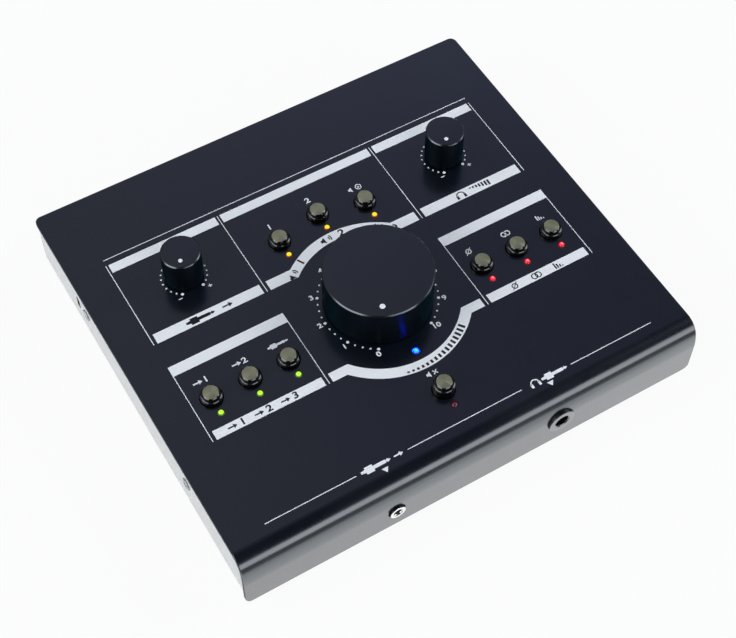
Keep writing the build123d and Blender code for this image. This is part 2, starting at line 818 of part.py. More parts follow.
def make_lamp_spacers():
    """Spacers that hold the lamps at panel height above the control board."""
    bottom_z = panel_z + lamp_above_panel - lamp_height
    with BuildPart() as spacers:
        with BuildSketch(Plane.XY.offset(control_top_z)):
            for x, y in lamp_places.values():
                with Locations((x, y)):
                    Circle(lamp_spacer_radius)
                with Locations((x - lamp_lead_spacing / 2, y), (x + lamp_lead_spacing / 2, y)):
                    Rectangle(lamp_lead_width + stem_gap, lamp_lead_width + stem_gap, mode=Mode.SUBTRACT)
        extrude(amount=bottom_z - control_top_z)
    save(spacers, "lamp_spacers")


def make_all_lamps():
    make_lamps("amber_lamps", ["speaker_a", "speaker_b", "speaker_sub"])
    make_lamps("green_lamps", ["source_1", "source_2", "source_3"])
    make_lamps("red_lamps", ["phase", "mono", "dim", "mute"])
    make_lamps("blue_lamp", ["master"])
    make_lamp_spacers()


# ---------------------------------------------------------------- front sockets
def make_phones_socket():
    """Socket for a 6.35 mm plug, with a bushing through the front."""
    body_front = socket_front(phones_body_height)
    with BuildPart() as socket:
        with Locations((socket_across, body_front, main_top_z)):
            Box(phones_body_width, phones_body_length, phones_body_height,
                align=(Align.CENTER, Align.MIN, Align.MIN))
        with BuildSketch(upright(body_front)):
            with Locations((socket_across, phones_z)):
                Circle(phones_bushing_radius)
        extrude(amount=body_front - front_y + phones_proud)
        mouth = socket.faces().sort_by(Axis.Y)[0]
        fillet(mouth.edges(), 0.3)
        with BuildSketch(upright(front_y - phones_proud)):
            with Locations((socket_across, phones_z)):
                Circle(jack_bore_radius)
        extrude(amount=-jack_bore_length, mode=Mode.SUBTRACT)
        rim = socket.faces().sort_by(Axis.Y)[0].edges().sort_by(SortBy.RADIUS)[0]
        chamfer(rim, jack_mouth_flare)
    save(socket, "phones_socket")


def make_aux_socket():
    """Socket for a 3.5 mm plug: a body on the board and a plated bushing in it."""
    body_front = socket_front(aux_body_height)
    bushing_front = front_y - aux_proud
    with BuildPart() as body:
        with Locations((-socket_across, body_front, main_top_z)):
            Box(aux_body_width, aux_body_length, aux_body_height,
                align=(Align.CENTER, Align.MIN, Align.MIN))
        with BuildSketch(upright(bushing_front)):
            with Locations((-socket_across, aux_z)):
                Circle(aux_bushing_radius)
        extrude(amount=-aux_bushing_length, mode=Mode.SUBTRACT)
        with BuildSketch(upright(body_front)):
            with Locations((-socket_across, aux_z)):
                Circle(aux_well_radius)
        extrude(amount=-(aux_body_length - 2), mode=Mode.SUBTRACT)
    save(body, "aux_socket_body")
    with BuildPart() as bushing:
        with BuildSketch(upright(bushing_front)):
            with Locations((-socket_across, aux_z)):
                Circle(aux_bushing_radius)
                Circle(aux_bore_radius, mode=Mode.SUBTRACT)
        extrude(amount=-aux_bushing_length)
        front_rims = bushing.faces().sort_by(Axis.Y)[0].edges()
        chamfer(front_rims, 0.25)
    save(bushing, "aux_socket_bushing")


# ---------------------------------------------------------------- rear sockets
def make_line_sockets():
    """Balanced line sockets for 6.35 mm plugs along the rear wall."""
    mouth_y = rear_y + line_bushing_reach
    places = [(x, rear_axis_z) for x in line_jack_xs]
    with BuildPart() as sockets:
        with Locations(*[(x, rear_body_y, main_top_z) for x in line_jack_xs]):
            Box(line_body_width, line_body_length, line_body_height,
                align=(Align.CENTER, Align.MAX, Align.MIN))
        with BuildSketch(upright(rear_body_y)):
            with Locations(*places):
                Circle(line_bushing_radius)
        extrude(amount=-(mouth_y - rear_body_y))
        with BuildSketch(upright(mouth_y)):
            with Locations(*places):
                Circle(jack_bore_radius)
        extrude(amount=jack_bore_length, mode=Mode.SUBTRACT)
        rims = sockets.edges().group_by(Axis.Y)[-1]
        inner_rims = [edge for edge in rims if edge.radius < line_bushing_radius - 0.1]
        chamfer(inner_rims, jack_mouth_flare)
    save(sockets, "line_sockets")
    with BuildPart() as nuts:
        with BuildSketch(upright(rear_y)):
            with Locations(*places):
                RegularPolygon(hexagon_radius(line_nut_flats), 6)
                Circle(line_bushing_radius + thread_gap, mode=Mode.SUBTRACT)
        extrude(amount=-line_nut_height)
    save(nuts, "line_socket_nuts")


def make_phono_sockets():
    """Pair of phono sockets: block bodies with collars and plated barrels."""
    mouth_y = rear_y + phono_barrel_reach
    places = [(x, rear_axis_z) for x in phono_xs]
    with BuildPart() as sockets:
        with Locations(*[(x, rear_body_y, main_top_z) for x in phono_xs]):
            Box(phono_body_width, phono_body_length, phono_body_height,
                align=(Align.CENTER, Align.MAX, Align.MIN))
        with BuildSketch(upright(rear_body_y)):
            with Locations(*places):
                Circle(phono_collar_radius)
        extrude(amount=-(rear_y + phono_collar_reach - rear_body_y))
        with BuildSketch(upright(rear_y)):
            with Locations(*places):
                Circle(phono_barrel_radius)
        extrude(amount=-phono_barrel_reach)
        with BuildSketch(upright(mouth_y)):
            with Locations(*places):
                Circle(phono_bore_radius)
        extrude(amount=phono_bore_length, mode=Mode.SUBTRACT)
    save(sockets, "phono_sockets")


def make_power_inlet():
    """Low-voltage inlet with its centre pin."""
    place = (inlet_x, rear_axis_z)
    with BuildPart() as inlet:
        with Locations((inlet_x, rear_body_y, main_top_z)):
            Box(inlet_body_width, inlet_body_length, inlet_body_height,
                align=(Align.CENTER, Align.MAX, Align.MIN))
        with BuildSketch(upright(rear_body_y)):
            with Locations(place):
                Circle(inlet_nose_radius)
        extrude(amount=-(rear_y - rear_body_y))
        with BuildSketch(upright(rear_y)):
            with Locations(place):
                Circle(inlet_bore_radius)
        extrude(amount=inlet_bore_length, mode=Mode.SUBTRACT)
        with BuildSketch(upright(rear_y - inlet_pin_recess)):
            with Locations(place):
                Circle(inlet_pin_radius)
        extrude(amount=inlet_bore_length - inlet_pin_recess)
    save(inlet, "power_inlet")


def make_power_switch():
    """Rocker switch clipped into the rear wall, and its rocker on two trunnions."""
    place = (power_x, rear_axis_z)
    face_y = rear_y + power_bezel_thickness
    pivot_y = face_y - rocker_pivot_depth
    cavity_width = power_body_width - 2 * power_wall
    cavity_height = rocker_height + 2 * stem_gap
    cavity_depth = rocker_pivot_depth + rocker_root + 1.5
    pin_half = rocker_height / 2 + rocker_pin_reach
    with BuildPart() as housing:
        with BuildSketch(upright(rear_y)):
            with Locations(place):
                RectangleRounded(power_bezel_width, power_bezel_height, 0.8)
        extrude(amount=-power_bezel_thickness)
        with BuildSketch(upright(rear_y)):
            with Locations(place):
                Rectangle(power_body_width, power_body_height)
        extrude(amount=power_body_length)
        with BuildSketch(upright(face_y)):
            with Locations(place):
                Rectangle(cavity_width, cavity_height)
        extrude(amount=cavity_depth, mode=Mode.SUBTRACT)
        with Locations((power_x, pivot_y, rear_axis_z)):
            Cylinder(rocker_pin_radius + rocker_pin_gap, 2 * (pin_half + stem_gap), mode=Mode.SUBTRACT)
    save(housing, "power_switch_housing")
    half = rocker_width / 2
    tilt = math.radians(rocker_tilt)
    tilted = Plane(
        origin=(power_x, pivot_y, rear_axis_z - rocker_height / 2),
        x_dir=(math.cos(tilt), math.sin(tilt), 0),
        z_dir=(0, 0, 1),
    )
    with BuildPart() as rocker:
        with BuildSketch(tilted):
            with BuildLine():
                Polyline(
                    (0, rocker_pivot_depth + rocker_valley),
                    (half, rocker_pivot_depth + rocker_horn),
                    (half, -rocker_root / 2),
                    (half / 2, -rocker_root),
                    (-half / 2, -rocker_root),
                    (-half, -rocker_root / 2),
                    (-half, rocker_pivot_depth + rocker_horn),
                    close=True,
                )
            make_face()
        extrude(amount=rocker_height)
        with Locations((power_x, pivot_y, rear_axis_z)):
            Cylinder(rocker_pin_radius, 2 * pin_half)
    save(rocker, "power_rocker")


def main():
    os.makedirs("parts", exist_ok=True)
    make_top_cover()
    make_base_tray()
    make_cover_brackets()
    make_side_screws()
    make_rubber_feet()
    make_panel_pillars()
    make_board_standoffs()
    make_board_screws()
    make_control_board()
    make_main_board()
    make_board_link()
    make_relays()
    make_capacitors()
    make_audio_chips()
    make_rotary_controls()
    make_buttons()
    make_all_lamps()
    make_phones_socket()
    make_aux_socket()
    make_line_sockets()
    make_phono_sockets()
    make_power_inlet()
    make_power_switch()


main()
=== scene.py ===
"""Looks of a desktop studio monitor controller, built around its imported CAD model.

Metres, +Z up, +X to the right along the front, +Y to the back, as in the CAD frame.
Sizes written in millimetres are multiplied by MM where they are used.
"""

import math

import bmesh
import bpy
from mathutils import Matrix, Vector


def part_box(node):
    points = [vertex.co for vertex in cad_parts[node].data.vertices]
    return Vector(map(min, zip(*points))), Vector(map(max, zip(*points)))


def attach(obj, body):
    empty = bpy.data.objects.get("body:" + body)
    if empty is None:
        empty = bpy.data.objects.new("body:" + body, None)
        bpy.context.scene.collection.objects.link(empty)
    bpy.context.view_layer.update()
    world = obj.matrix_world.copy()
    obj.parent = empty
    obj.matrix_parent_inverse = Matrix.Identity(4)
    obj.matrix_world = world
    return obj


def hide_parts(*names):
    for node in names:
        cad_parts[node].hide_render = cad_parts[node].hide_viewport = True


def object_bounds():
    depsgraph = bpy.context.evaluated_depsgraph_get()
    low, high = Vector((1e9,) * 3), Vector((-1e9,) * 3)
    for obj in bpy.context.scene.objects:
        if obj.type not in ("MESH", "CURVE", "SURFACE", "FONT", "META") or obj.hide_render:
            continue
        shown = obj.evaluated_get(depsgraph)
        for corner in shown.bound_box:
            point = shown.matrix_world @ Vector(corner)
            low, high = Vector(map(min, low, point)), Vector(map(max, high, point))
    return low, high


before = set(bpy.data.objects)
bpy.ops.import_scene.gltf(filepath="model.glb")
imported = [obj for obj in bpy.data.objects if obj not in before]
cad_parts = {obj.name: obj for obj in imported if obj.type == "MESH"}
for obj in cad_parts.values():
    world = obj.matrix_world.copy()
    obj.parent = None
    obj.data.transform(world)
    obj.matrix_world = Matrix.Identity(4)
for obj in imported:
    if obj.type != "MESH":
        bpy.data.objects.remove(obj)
cad_box = [list(corner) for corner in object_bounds()]

MM = 0.001
BUTTONS = (
    "speaker_a", "speaker_b", "speaker_sub", "source_1", "source_2", "source_3",
    "phase", "mono", "dim", "mute",
)


# ---------------------------------------------------------------- places taken from the frame
def middle(node):
    low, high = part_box(node)
    return (low + high) / 2


cover_low, cover_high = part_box("top_cover")
panel_z = cover_high.z
front_y = cover_low.y
master_place = middle("master_knob")
master_back = (master_place.y - front_y) / MM
level_places = {name: middle(f"{name}_knob") for name in ("aux", "phones")}
button_places = {name: middle(f"{name}_button") for name in BUTTONS}
lamp_offset = middle("source_1_button").y - middle("green_lamps").y
lamp_places = {name: (place.x, place.y - lamp_offset, 0) for name, place in button_places.items()}
lamp_places["master"] = (middle("blue_lamp").x, middle("blue_lamp").y, 0)


def back(distance):
    """Y of a place this many millimetres behind the front face."""
    return front_y + distance * MM


# ---------------------------------------------------------------- mesh helpers
ON_AXIS = 1e-6                # a profile point nearer to its axis than this, in mm, is on it
WELD_DISTANCE = 0.5e-6        # points of a CAD mesh nearer than this, in metres, are one
FLAT_ANGLE = 0.4              # faces that meet flatter than this, in degrees, are one
EDGE_ANGLE = 40.0             # edges sharper than this are eased
SMOOTH_ANGLE = 30.0           # edges flatter than this are shaded smooth


def new_object(name, mesh):
    piece = bpy.data.objects.new(name, mesh)
    bpy.context.scene.collection.objects.link(piece)
    return piece


def object_from(name, bm, finishes=()):
    """New piece from a bmesh, which is used up."""
    mesh = bpy.data.meshes.new(name)
    bm.to_mesh(mesh)
    bm.free()
    for finish in finishes:
        mesh.materials.append(finish)
    return new_object(name, mesh)


def settle(piece):
    """Replace a piece's mesh by its evaluated one, and take its modifiers off."""
    depsgraph = bpy.context.evaluated_depsgraph_get()
    mesh = bpy.data.meshes.new_from_object(
        piece.evaluated_get(depsgraph), preserve_all_data_layers=True, depsgraph=depsgraph)
    piece.modifiers.clear()
    piece.data = mesh
    mesh.name = piece.name
    return piece


def smooth(piece):
    """Smooth shading over blunt edges, with flat faces kept flat."""
    piece.data.polygons.foreach_set("use_smooth", [True] * len(piece.data.polygons))
    piece.data.set_sharp_from_angle(angle=math.radians(SMOOTH_ANGLE))
    weighted = piece.modifiers.new("flat_faces", "WEIGHTED_NORMAL")
    weighted.keep_sharp = True
    return settle(piece)


def rounded(corners, steps=5):
    """Profile points (radius, height): a corner given as (radius, height, rounding) becomes an arc."""
    points = []
    for index, corner in enumerate(corners):
        here = Vector(corner[:2])
        if len(corner) < 3:
            points.append(here)
            continue
        before = Vector(corners[index - 1][:2]) - here
        after = Vector(corners[index + 1][:2]) - here
        half = before.angle(after) / 2
        reach = corner[2] / math.tan(half)
        inward = (before.normalized() + after.normalized()).normalized()
        centre = here + inward * corner[2] / math.sin(half)
        start = here + before.normalized() * reach - centre
        turn = start.angle_signed(here + after.normalized() * reach - centre)
        for step in range(steps + 1):
            points.append(centre + Matrix.Rotation(-turn * step / steps, 2) @ start)
    return [(point.x, point.y) for point in points]


def lathe(name, profile, place, finishes, segments=96, axis=(0, 0, 1), parts=None):
    """Turned piece: a profile of (radius, height) in mm, from the foot of its axis to the top.

    parts(radius, height) of a face's middle gives the number of its finish.
    The UV map runs round the piece and along the profile.
    """
    bm = bmesh.new()
    uv = bm.loops.layers.uv.new("turned")
    along = [0.0]
    for (r0, h0), (r1, h1) in zip(profile, profile[1:]):
        along.append(along[-1] + math.hypot(r1 - r0, h1 - h0))
    rings = []
    for radius, height in profile:
        if radius < ON_AXIS:
            rings.append([bm.verts.new((0, 0, height * MM))] * (segments + 1))
            continue
        ring = []
        for step in range(segments):
            angle = 2 * math.pi * step / segments
            x = radius * MM * math.cos(angle)
            y = radius * MM * math.sin(angle)
            ring.append(bm.verts.new((x, y, height * MM)))
        rings.append(ring + ring[:1])
    for row, ((r0, h0), (r1, h1)) in enumerate(zip(profile, profile[1:])):
        for step in range(segments):
            corners = []
            for level, column in ((row, step), (row, step + 1), (row + 1, step + 1), (row + 1, step)):
                vertex = rings[level][column]
                if all(vertex is not other for other, _, _ in corners):
                    corners.append((vertex, column, level))
            if len(corners) < 3:
                continue
            face = bm.faces.new([vertex for vertex, _, _ in corners])
            for loop, (_, column, level) in zip(face.loops, corners):
                loop[uv].uv = (column / segments, along[level] / along[-1])
            if parts:
                face.material_index = parts((r0 + r1) / 2, (h0 + h1) / 2)
    bmesh.ops.recalc_face_normals(bm, faces=bm.faces)
    piece = object_from(name, bm, finishes)
    turn = Vector((0, 0, 1)).rotation_difference(Vector(axis)).to_matrix().to_4x4()
    piece.data.transform(Matrix.Translation(place) @ turn)
    return smooth(piece)


def show_finished(node, finishes, parts=None, bevel=0.0, body="root"):
    """Stand in for a CAD node with a copy whose triangles are joined and whose sharp edges are eased.

    parts(middle, normal) of a face gives the number of its finish.
    """
    bm = bmesh.new()
    bm.from_mesh(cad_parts[node].data)
    bmesh.ops.remove_doubles(bm, verts=bm.verts, dist=WELD_DISTANCE)
    bmesh.ops.dissolve_limit(bm, angle_limit=math.radians(FLAT_ANGLE), verts=bm.verts, edges=bm.edges)
    piece = object_from(f"{node}_finished", bm, finishes)
    for polygon in piece.data.polygons:
        polygon.material_index = parts(polygon.center, polygon.normal) if parts else 0
    if bevel:
        eased = piece.modifiers.new("eased_edges", "BEVEL")
        eased.width = bevel * MM
        eased.segments = 2
        eased.limit_method = "ANGLE"
        eased.angle_limit = math.radians(EDGE_ANGLE)
        eased.use_clamp_overlap = True
        settle(piece)
    stand_for(smooth(piece), body, node)


def cut(piece, other, operation="DIFFERENCE"):
    """Combine a piece with another closed mesh, which is used up."""
    tool = piece.modifiers.new("cut", "BOOLEAN")
    tool.object = other
    tool.operation = operation
    tool.solver = "EXACT"
    settle(piece)
    bpy.data.objects.remove(other)
    return piece


def prism(name, outline, low, high):
    """Upright closed solid: an outline of (x, y) in mm, between two heights in mm."""
    bm = bmesh.new()
    face = bm.faces.new([bm.verts.new((x * MM, y * MM, low * MM)) for x, y in outline])
    raised = bmesh.ops.extrude_face_region(bm, geom=[face])["geom"]
    bmesh.ops.translate(bm, vec=(0, 0, (high - low) * MM),
                        verts=[part for part in raised if isinstance(part, bmesh.types.BMVert)])
    bmesh.ops.recalc_face_normals(bm, faces=bm.faces)
    return object_from(name, bm)


def stand_for(piece, body, node):
    """The piece is shown in a CAD node's place and moves with its body."""
    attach(piece, body)
    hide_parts(node)
    return piece


# ---------------------------------------------------------------- node helpers
def add_node(tree, kind, inputs=None, **settings):
    """New node with its settings and its inputs: a value, or a socket to link from."""
    node = tree.nodes.new(kind)
    for name, value in settings.items():
        setattr(node, name, value)
    for name, value in (inputs or {}).items():
        if isinstance(value, bpy.types.NodeSocket):
            tree.links.new(value, node.inputs[name])
        else:
            node.inputs[name].default_value = value
    return node


def maths(tree, operation, first, second=0.0):
    return add_node(tree, "ShaderNodeMath", {0: first, 1: second}, operation=operation).outputs[0]


def axes_of(tree, vector):
    """The X, Y and Z of a vector."""
    return add_node(tree, "ShaderNodeSeparateXYZ", {"Vector": vector}).outputs


def object_place(tree):
    """Where a point lies in the piece's own coordinates."""
    return add_node(tree, "ShaderNodeTexCoord").outputs["Object"]


def set_stops(ramp, stops):
    """Give a colour ramp these stops only: (position, colour)."""
    elements = ramp.color_ramp.elements
    while len(elements) > 1:
        elements.remove(elements[-1])
    for index, (position, colour) in enumerate(stops):
        element = elements.new(position) if index else elements[0]
        element.position = position
        element.color = (*colour, 1)


def new_finish(name, colour, roughness, **sockets):
    """Material with a Principled shader: returns it with its node tree and shader."""
    finish = bpy.data.materials.new(name)
    finish.use_nodes = True
    tree = finish.node_tree
    shader = tree.nodes["Principled BSDF"]
    shader.inputs["Base Color"].default_value = (*colour, 1)
    shader.inputs["Roughness"].default_value = roughness
    for socket, value in sockets.items():
        shader.inputs[socket.replace("_", " ").title().replace("Ior", "IOR")].default_value = value
    return finish, tree, shader


def object_noise(tree, scale, detail=3.0, roughness=0.5, stretch=(1, 1, 1)):
    """Noise in the piece's own coordinates: scale is in features per metre."""
    mapping = add_node(tree, "ShaderNodeMapping", {"Vector": object_place(tree), "Scale": stretch})
    noise = add_node(tree, "ShaderNodeTexNoise", {
        "Vector": mapping.outputs["Vector"], "Scale": scale, "Detail": detail, "Roughness": roughness})
    return noise.outputs["Fac"]


def spread(tree, value, low, high, start=0.3, end=0.7, **settings):
    """A value that runs from start to end, as noise mostly does, made to run from low to high."""
    inputs = {"Value": value, "From Min": start, "From Max": end, "To Min": low, "To Max": high}
    return add_node(tree, "ShaderNodeMapRange", inputs, **settings).outputs["Result"]


def blend_colours(tree, share, first, second):
    """Mix of two colours: each is three numbers, or a socket to link from."""
    inputs = {"Factor": share}
    for name, colour in (("A", first), ("B", second)):
        inputs[name] = colour if isinstance(colour, bpy.types.NodeSocket) else (*colour, 1)
    return add_node(tree, "ShaderNodeMix", inputs, data_type="RGBA").outputs["Result"]


def surface(tree, shader, colour, roughness, grain, depth, colour_socket="Base Color"):
    """Link a shader's colour and roughness, and raise the grain to this depth in metres."""
    bump = add_node(tree, "ShaderNodeBump", {"Height": grain, "Distance": depth, "Strength": 1.0})
    tree.links.new(colour, shader.inputs[colour_socket])
    tree.links.new(roughness, shader.inputs["Roughness"])
    tree.links.new(bump.outputs["Normal"], shader.inputs["Normal"])


def along_profile(tree):
    """How far along its profile a point of a turned piece lies, from 0 to 1."""
    return axes_of(tree, add_node(tree, "ShaderNodeUVMap", uv_map="turned").outputs["UV"])["Y"]


def plain_finish(name, colour, roughness, grain=2500.0, depth=4e-6, mottle=0.08, mottle_scale=90.0,
                 rough_spread=0.06, stretch=(1, 1, 1), **sockets):
    """Finish with slight changes of shade, a fine grain and an uneven gloss."""
    finish, tree, shader = new_finish(name, colour, roughness, **sockets)
    darker = [channel * (1 - mottle) for channel in colour]
    lighter = [min(1.0, channel * (1 + mottle)) for channel in colour]
    shade = spread(tree, object_noise(tree, mottle_scale), 0.0, 1.0)
    fine = object_noise(tree, grain, stretch=stretch)
    surface(tree, shader, blend_colours(tree, shade, darker, lighter),
            spread(tree, fine, roughness - rough_spread, roughness + rough_spread), fine, depth)
    return finish


# ---------------------------------------------------------------- finishes
def cover_paint():
    """Smooth dark navy paint: a faint orange peel under an even gloss."""
    finish, tree, shader = new_finish("cover_paint", (0.0022, 0.0036, 0.0072), 0.28, coat_weight=0.9,
                                      coat_roughness=0.17)
    flecks = spread(tree, object_noise(tree, 5200.0, 2.0), 0.0, 1.0, 0.35, 0.75)
    surface(tree, shader, blend_colours(tree, flecks, (0.0016, 0.0028, 0.0060), (0.0029, 0.0045, 0.0085)),
            spread(tree, object_noise(tree, 60.0), 0.25, 0.31), object_noise(tree, 1600.0, 2.0), 1.2e-6)
    return finish


def tray_silver():
    """Light silver paint with fine bright flakes."""
    finish, tree, shader = new_finish("tray_silver", (0.552, 0.54, 0.514), 0.42, metallic=0.25)
    flakes = spread(tree, object_noise(tree, 3600.0, 2.0), 0.0, 1.0, 0.36, 0.66)
    surface(tree, shader, blend_colours(tree, flakes, (0.48, 0.47, 0.447), (0.62, 0.605, 0.577)),
            spread(tree, object_noise(tree, 400.0), 0.36, 0.48), object_noise(tree, 2200.0, 2.0), 3e-6)
    return finish


def white_ink():
    """Screen-printed white, with a slight speckle where the paint's grain shows through."""
    finish, tree, shader = new_finish("white_ink", (0.86, 0.87, 0.87), 0.5)
    speckle = spread(tree, object_noise(tree, 2600.0, 4.0, 0.7), 0.0, 1.0, 0.32, 0.5)
    surface(tree, shader, blend_colours(tree, speckle, (0.80, 0.82, 0.83), (0.93, 0.95, 0.94)),
            spread(tree, speckle, 0.42, 0.6, 0.0, 1.0), speckle, 4e-6)
    return finish


def turned_finish(name, darker, lighter, roughness, rough_spread, anisotropy, ring_count, depth,
                  **sockets):
    """Lathe-turned metal: fine rings about the axis, whose gloss runs across them."""
    middle_shade = [(a + b) / 2 for a, b in zip(darker, lighter)]
    finish, tree, shader = new_finish(name, middle_shade, roughness, metallic=1.0, anisotropic=anisotropy,
                                      anisotropic_rotation=0.25, **sockets)
    noise = {"W": along_profile(tree), "Scale": ring_count, "Detail": 2.0}
    rings = add_node(tree, "ShaderNodeTexNoise", noise, noise_dimensions="1D").outputs["Fac"]
    surface(tree, shader, blend_colours(tree, spread(tree, rings, 0.0, 1.0), darker, lighter),
            spread(tree, rings, roughness - rough_spread, roughness + rough_spread), rings, depth)
    tangent = add_node(tree, "ShaderNodeTangent", direction_type="UV_MAP", uv_map="turned")
    tree.links.new(tangent.outputs["Tangent"], shader.inputs["Tangent"])
    return finish


CORE_EDGE = 0.862             # where a lens's bright core starts along its profile, from its foot


def lamp_lens(name, centre, core, rim, lens, thrown=None, thrown_from=0.0):
    """Glowing lens: a bright core about its top, and a deeper colour towards the panel.

    thrown is the light that leaves the lens towards the back, from this Y on.
    """
    finish, tree, shader = new_finish(name, lens, 0.18, emission_strength=1.0)
    along = along_profile(tree)
    bright = spread(tree, along, 0.0, 1.0, CORE_EDGE - 0.02, CORE_EDGE + 0.02)
    inner = spread(tree, along, 0.0, 1.0, 0.92, 0.98)
    glow = blend_colours(tree, bright, rim, blend_colours(tree, inner, core, centre))
    if thrown:
        depth = axes_of(tree, object_place(tree))["Y"]
        behind = spread(tree, depth, 0.0, 1.0, thrown_from, thrown_from + 0.2 * MM)
        glow = blend_colours(tree, behind, glow, thrown)
    surface(tree, shader, glow, spread(tree, object_noise(tree, 900.0), 0.14, 0.22),
            object_noise(tree, 1500.0), 2e-6, "Emission Color")
    return finish


paint = cover_paint()
# Matte near-black for the cover's cut edges: the edge's own dark paint together with painted shade of the
# gap between cover and tray.
cut_edge_painted_shade = plain_finish("cover_cut_edge", (0.0015, 0.0017, 0.0025), 0.6)
silver = tray_silver()
ink = white_ink()
dark_ink = plain_finish("dark_ink", (0.004, 0.0045, 0.007), 0.45)
spun = turned_finish("spun_face", (0.38, 0.37, 0.21), (0.74, 0.72, 0.43), 0.36, 0.06, 0.6, 900.0,
                     2.5e-6)
knob_face = turned_finish("knob_black_face", (0.074, 0.080, 0.090), (0.088, 0.094, 0.105), 0.38, 0.02, 0.0,
                          2400.0, 2e-7)
# The side, underside and bore are the knob's own black metal, but their colour is kept much darker than the
# face's: painted shade.
knob_side_painted_shade = turned_finish("knob_black_side", (0.012, 0.017, 0.024), (0.017, 0.023, 0.031), 0.38, 0.02, 0.55,
                          2400.0, 2e-7, specular_tint=(0.40, 0.52, 0.58, 1.0))
knob_rim = turned_finish("knob_black_rim", (0.068, 0.071, 0.078), (0.088, 0.091, 0.098), 0.22, 0.02, 0.2,
                         2400.0, 2e-7)
cap_black = plain_finish("cap_black", (0.0012, 0.0012, 0.0012), 0.10, grain=1800.0, depth=4e-7,
                         rough_spread=0.02, ior=1.65)
socket_black = plain_finish("socket_black", (0.003, 0.003, 0.003), 0.38, ior=1.38)
moulding_black = plain_finish("moulding_black", (0.010, 0.010, 0.011), 0.45)
nickel = plain_finish("nickel", (0.78, 0.77, 0.74), 0.22, metallic=1.0, depth=8e-7, mottle=0.04)
screw_steel = plain_finish("screw_steel", (0.62, 0.62, 0.61), 0.3, metallic=1.0, depth=1.5e-6)
screw_zinc = plain_finish("screw_zinc", (0.36, 0.365, 0.36), 0.45, metallic=1.0, depth=1.5e-6)
socket_face = plain_finish("socket_face", (0.030, 0.031, 0.034), 0.22, coat_weight=1.0, coat_roughness=0.12,
                           depth=5e-7)
insulator_white = plain_finish("insulator_white", (0.72, 0.72, 0.70), 0.35, depth=1e-6)
insulator_red = plain_finish("insulator_red", (0.42, 0.02, 0.02), 0.35, depth=1e-6)
zinc = plain_finish("zinc", (0.60, 0.61, 0.60), 0.42, metallic=1.0, depth=3e-6)
brass = plain_finish("brass", (0.66, 0.50, 0.24), 0.35, metallic=1.0, depth=1e-6)
steel_shaft = plain_finish("steel_shaft", (0.55, 0.55, 0.55), 0.28, metallic=1.0, stretch=(1, 1, 12))
control_can = plain_finish("control_can", (0.45, 0.45, 0.44), 0.4, metallic=1.0)
board_green = plain_finish("board_green", (0.012, 0.085, 0.035), 0.32, grain=700.0, depth=6e-6, mottle=0.3,
                           mottle_scale=260.0)
relay_grey = plain_finish("relay_grey", (0.46, 0.45, 0.40), 0.5)
can_sleeve = plain_finish("can_sleeve", (0.02, 0.02, 0.03), 0.3)
chip_black = plain_finish("chip_black", (0.012, 0.012, 0.012), 0.6, depth=8e-6)
plunger_white = plain_finish("plunger_white", (0.70, 0.70, 0.66), 0.45)
rubber = plain_finish("rubber", (0.010, 0.010, 0.010), 0.75, grain=1600.0, depth=1.2e-5)

amber = lamp_lens("lamp_amber", (1.0, 0.88, 0.05), (1.0, 0.82, 0.0), (0.11, 0.012, 0.0),
                  (0.10, 0.02, 0.002))
green = lamp_lens("lamp_green", (0.42, 0.85, 0.02), (0.60, 1.0, 0.04), (0.03, 0.10, 0.0),
                  (0.05, 0.12, 0.01))
red = lamp_lens("lamp_red", (1.0, 0.42, 0.45), (1.0, 0.01, 0.03), (0.22, 0.0, 0.005), (0.20, 0.005, 0.01))
blue = lamp_lens("lamp_blue", (0.25, 0.95, 1.2), (0.02, 0.45, 1.2), (0.0, 0.02, 0.35), (0.01, 0.05, 0.25),
                 thrown=(0.0, 1.0, 60.0), thrown_from=middle("blue_lamp").y + 0.6 * MM)
# The unlit mute lens still emits a faint glow, brightest at its top: a painted glow and painted highlight
# on a lamp that is off.
unlit_red_painted_glow = lamp_lens("lamp_red_unlit", (0.16, 0.01, 0.03), (0.035, 0.0, 0.010), (0.012, 0.0, 0.004),
                      (0.04, 0.002, 0.010))

HIDDEN_NODES = (
    (zinc, ("cover_brackets", "panel_pillars", "control_nuts")),
    (brass, ("board_standoffs",)),
    (screw_steel, ("board_screws",)),
    (board_green, ("control_board", "main_board")),
    (moulding_black, ("board_link", "switch_housings", "lamp_spacers")),
    (relay_grey, ("relays",)),
    (can_sleeve, ("capacitors",)),
    (chip_black, ("audio_chips",)),
    (control_can, ("master_control_body", "aux_control_body", "phones_control_body")),
    (steel_shaft, ("master_shaft", "aux_shaft", "phones_shaft")),
    (plunger_white, tuple(f"{name}_plunger" for name in BUTTONS)),
)


def finish_hidden_nodes():
    """CAD nodes inside the case keep their shape and get their finish."""
    for finish, nodes in HIDDEN_NODES:
        for node in nodes:
            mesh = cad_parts[node].data
            mesh.materials.clear()
            mesh.materials.append(finish)


# ---------------------------------------------------------------- case
LOCK_SLOT_BACK = 152.7
LOCK_SLOT_DOWN = 15.3         # from the panel
LOCK_SLOT_REACH = (2.5, 4.5)  # its faces lie within this of its middle: along the wall, and up


def dress_case():
    side_x = cover_high.x - 0.05 * MM
    slot_y = back(LOCK_SLOT_BACK)
    slot_z = panel_z - LOCK_SLOT_DOWN * MM

    # Faces at the cover's sides take the near-black cut-edge finish, which is partly painted shade of the
    # gap to the tray.
    def cover_part(place, normal):
        return 1 if abs(place.x) > side_x else 0

    # The lock slot's walls take the black moulding finish: painted shade of the slot's depth in the silver
    # tray.
    def tray_part(place, normal):
        near = (abs(place.y - slot_y) < LOCK_SLOT_REACH[0] * MM
                and abs(place.z - slot_z) < LOCK_SLOT_REACH[1] * MM)
        return 1 if near and place.x < 0 and abs(normal.x) < 0.5 else 0

    show_finished("top_cover", [paint, cut_edge_painted_shade], cover_part)
    show_finished("base_tray", [silver, moulding_black], tray_part, bevel=0.12)


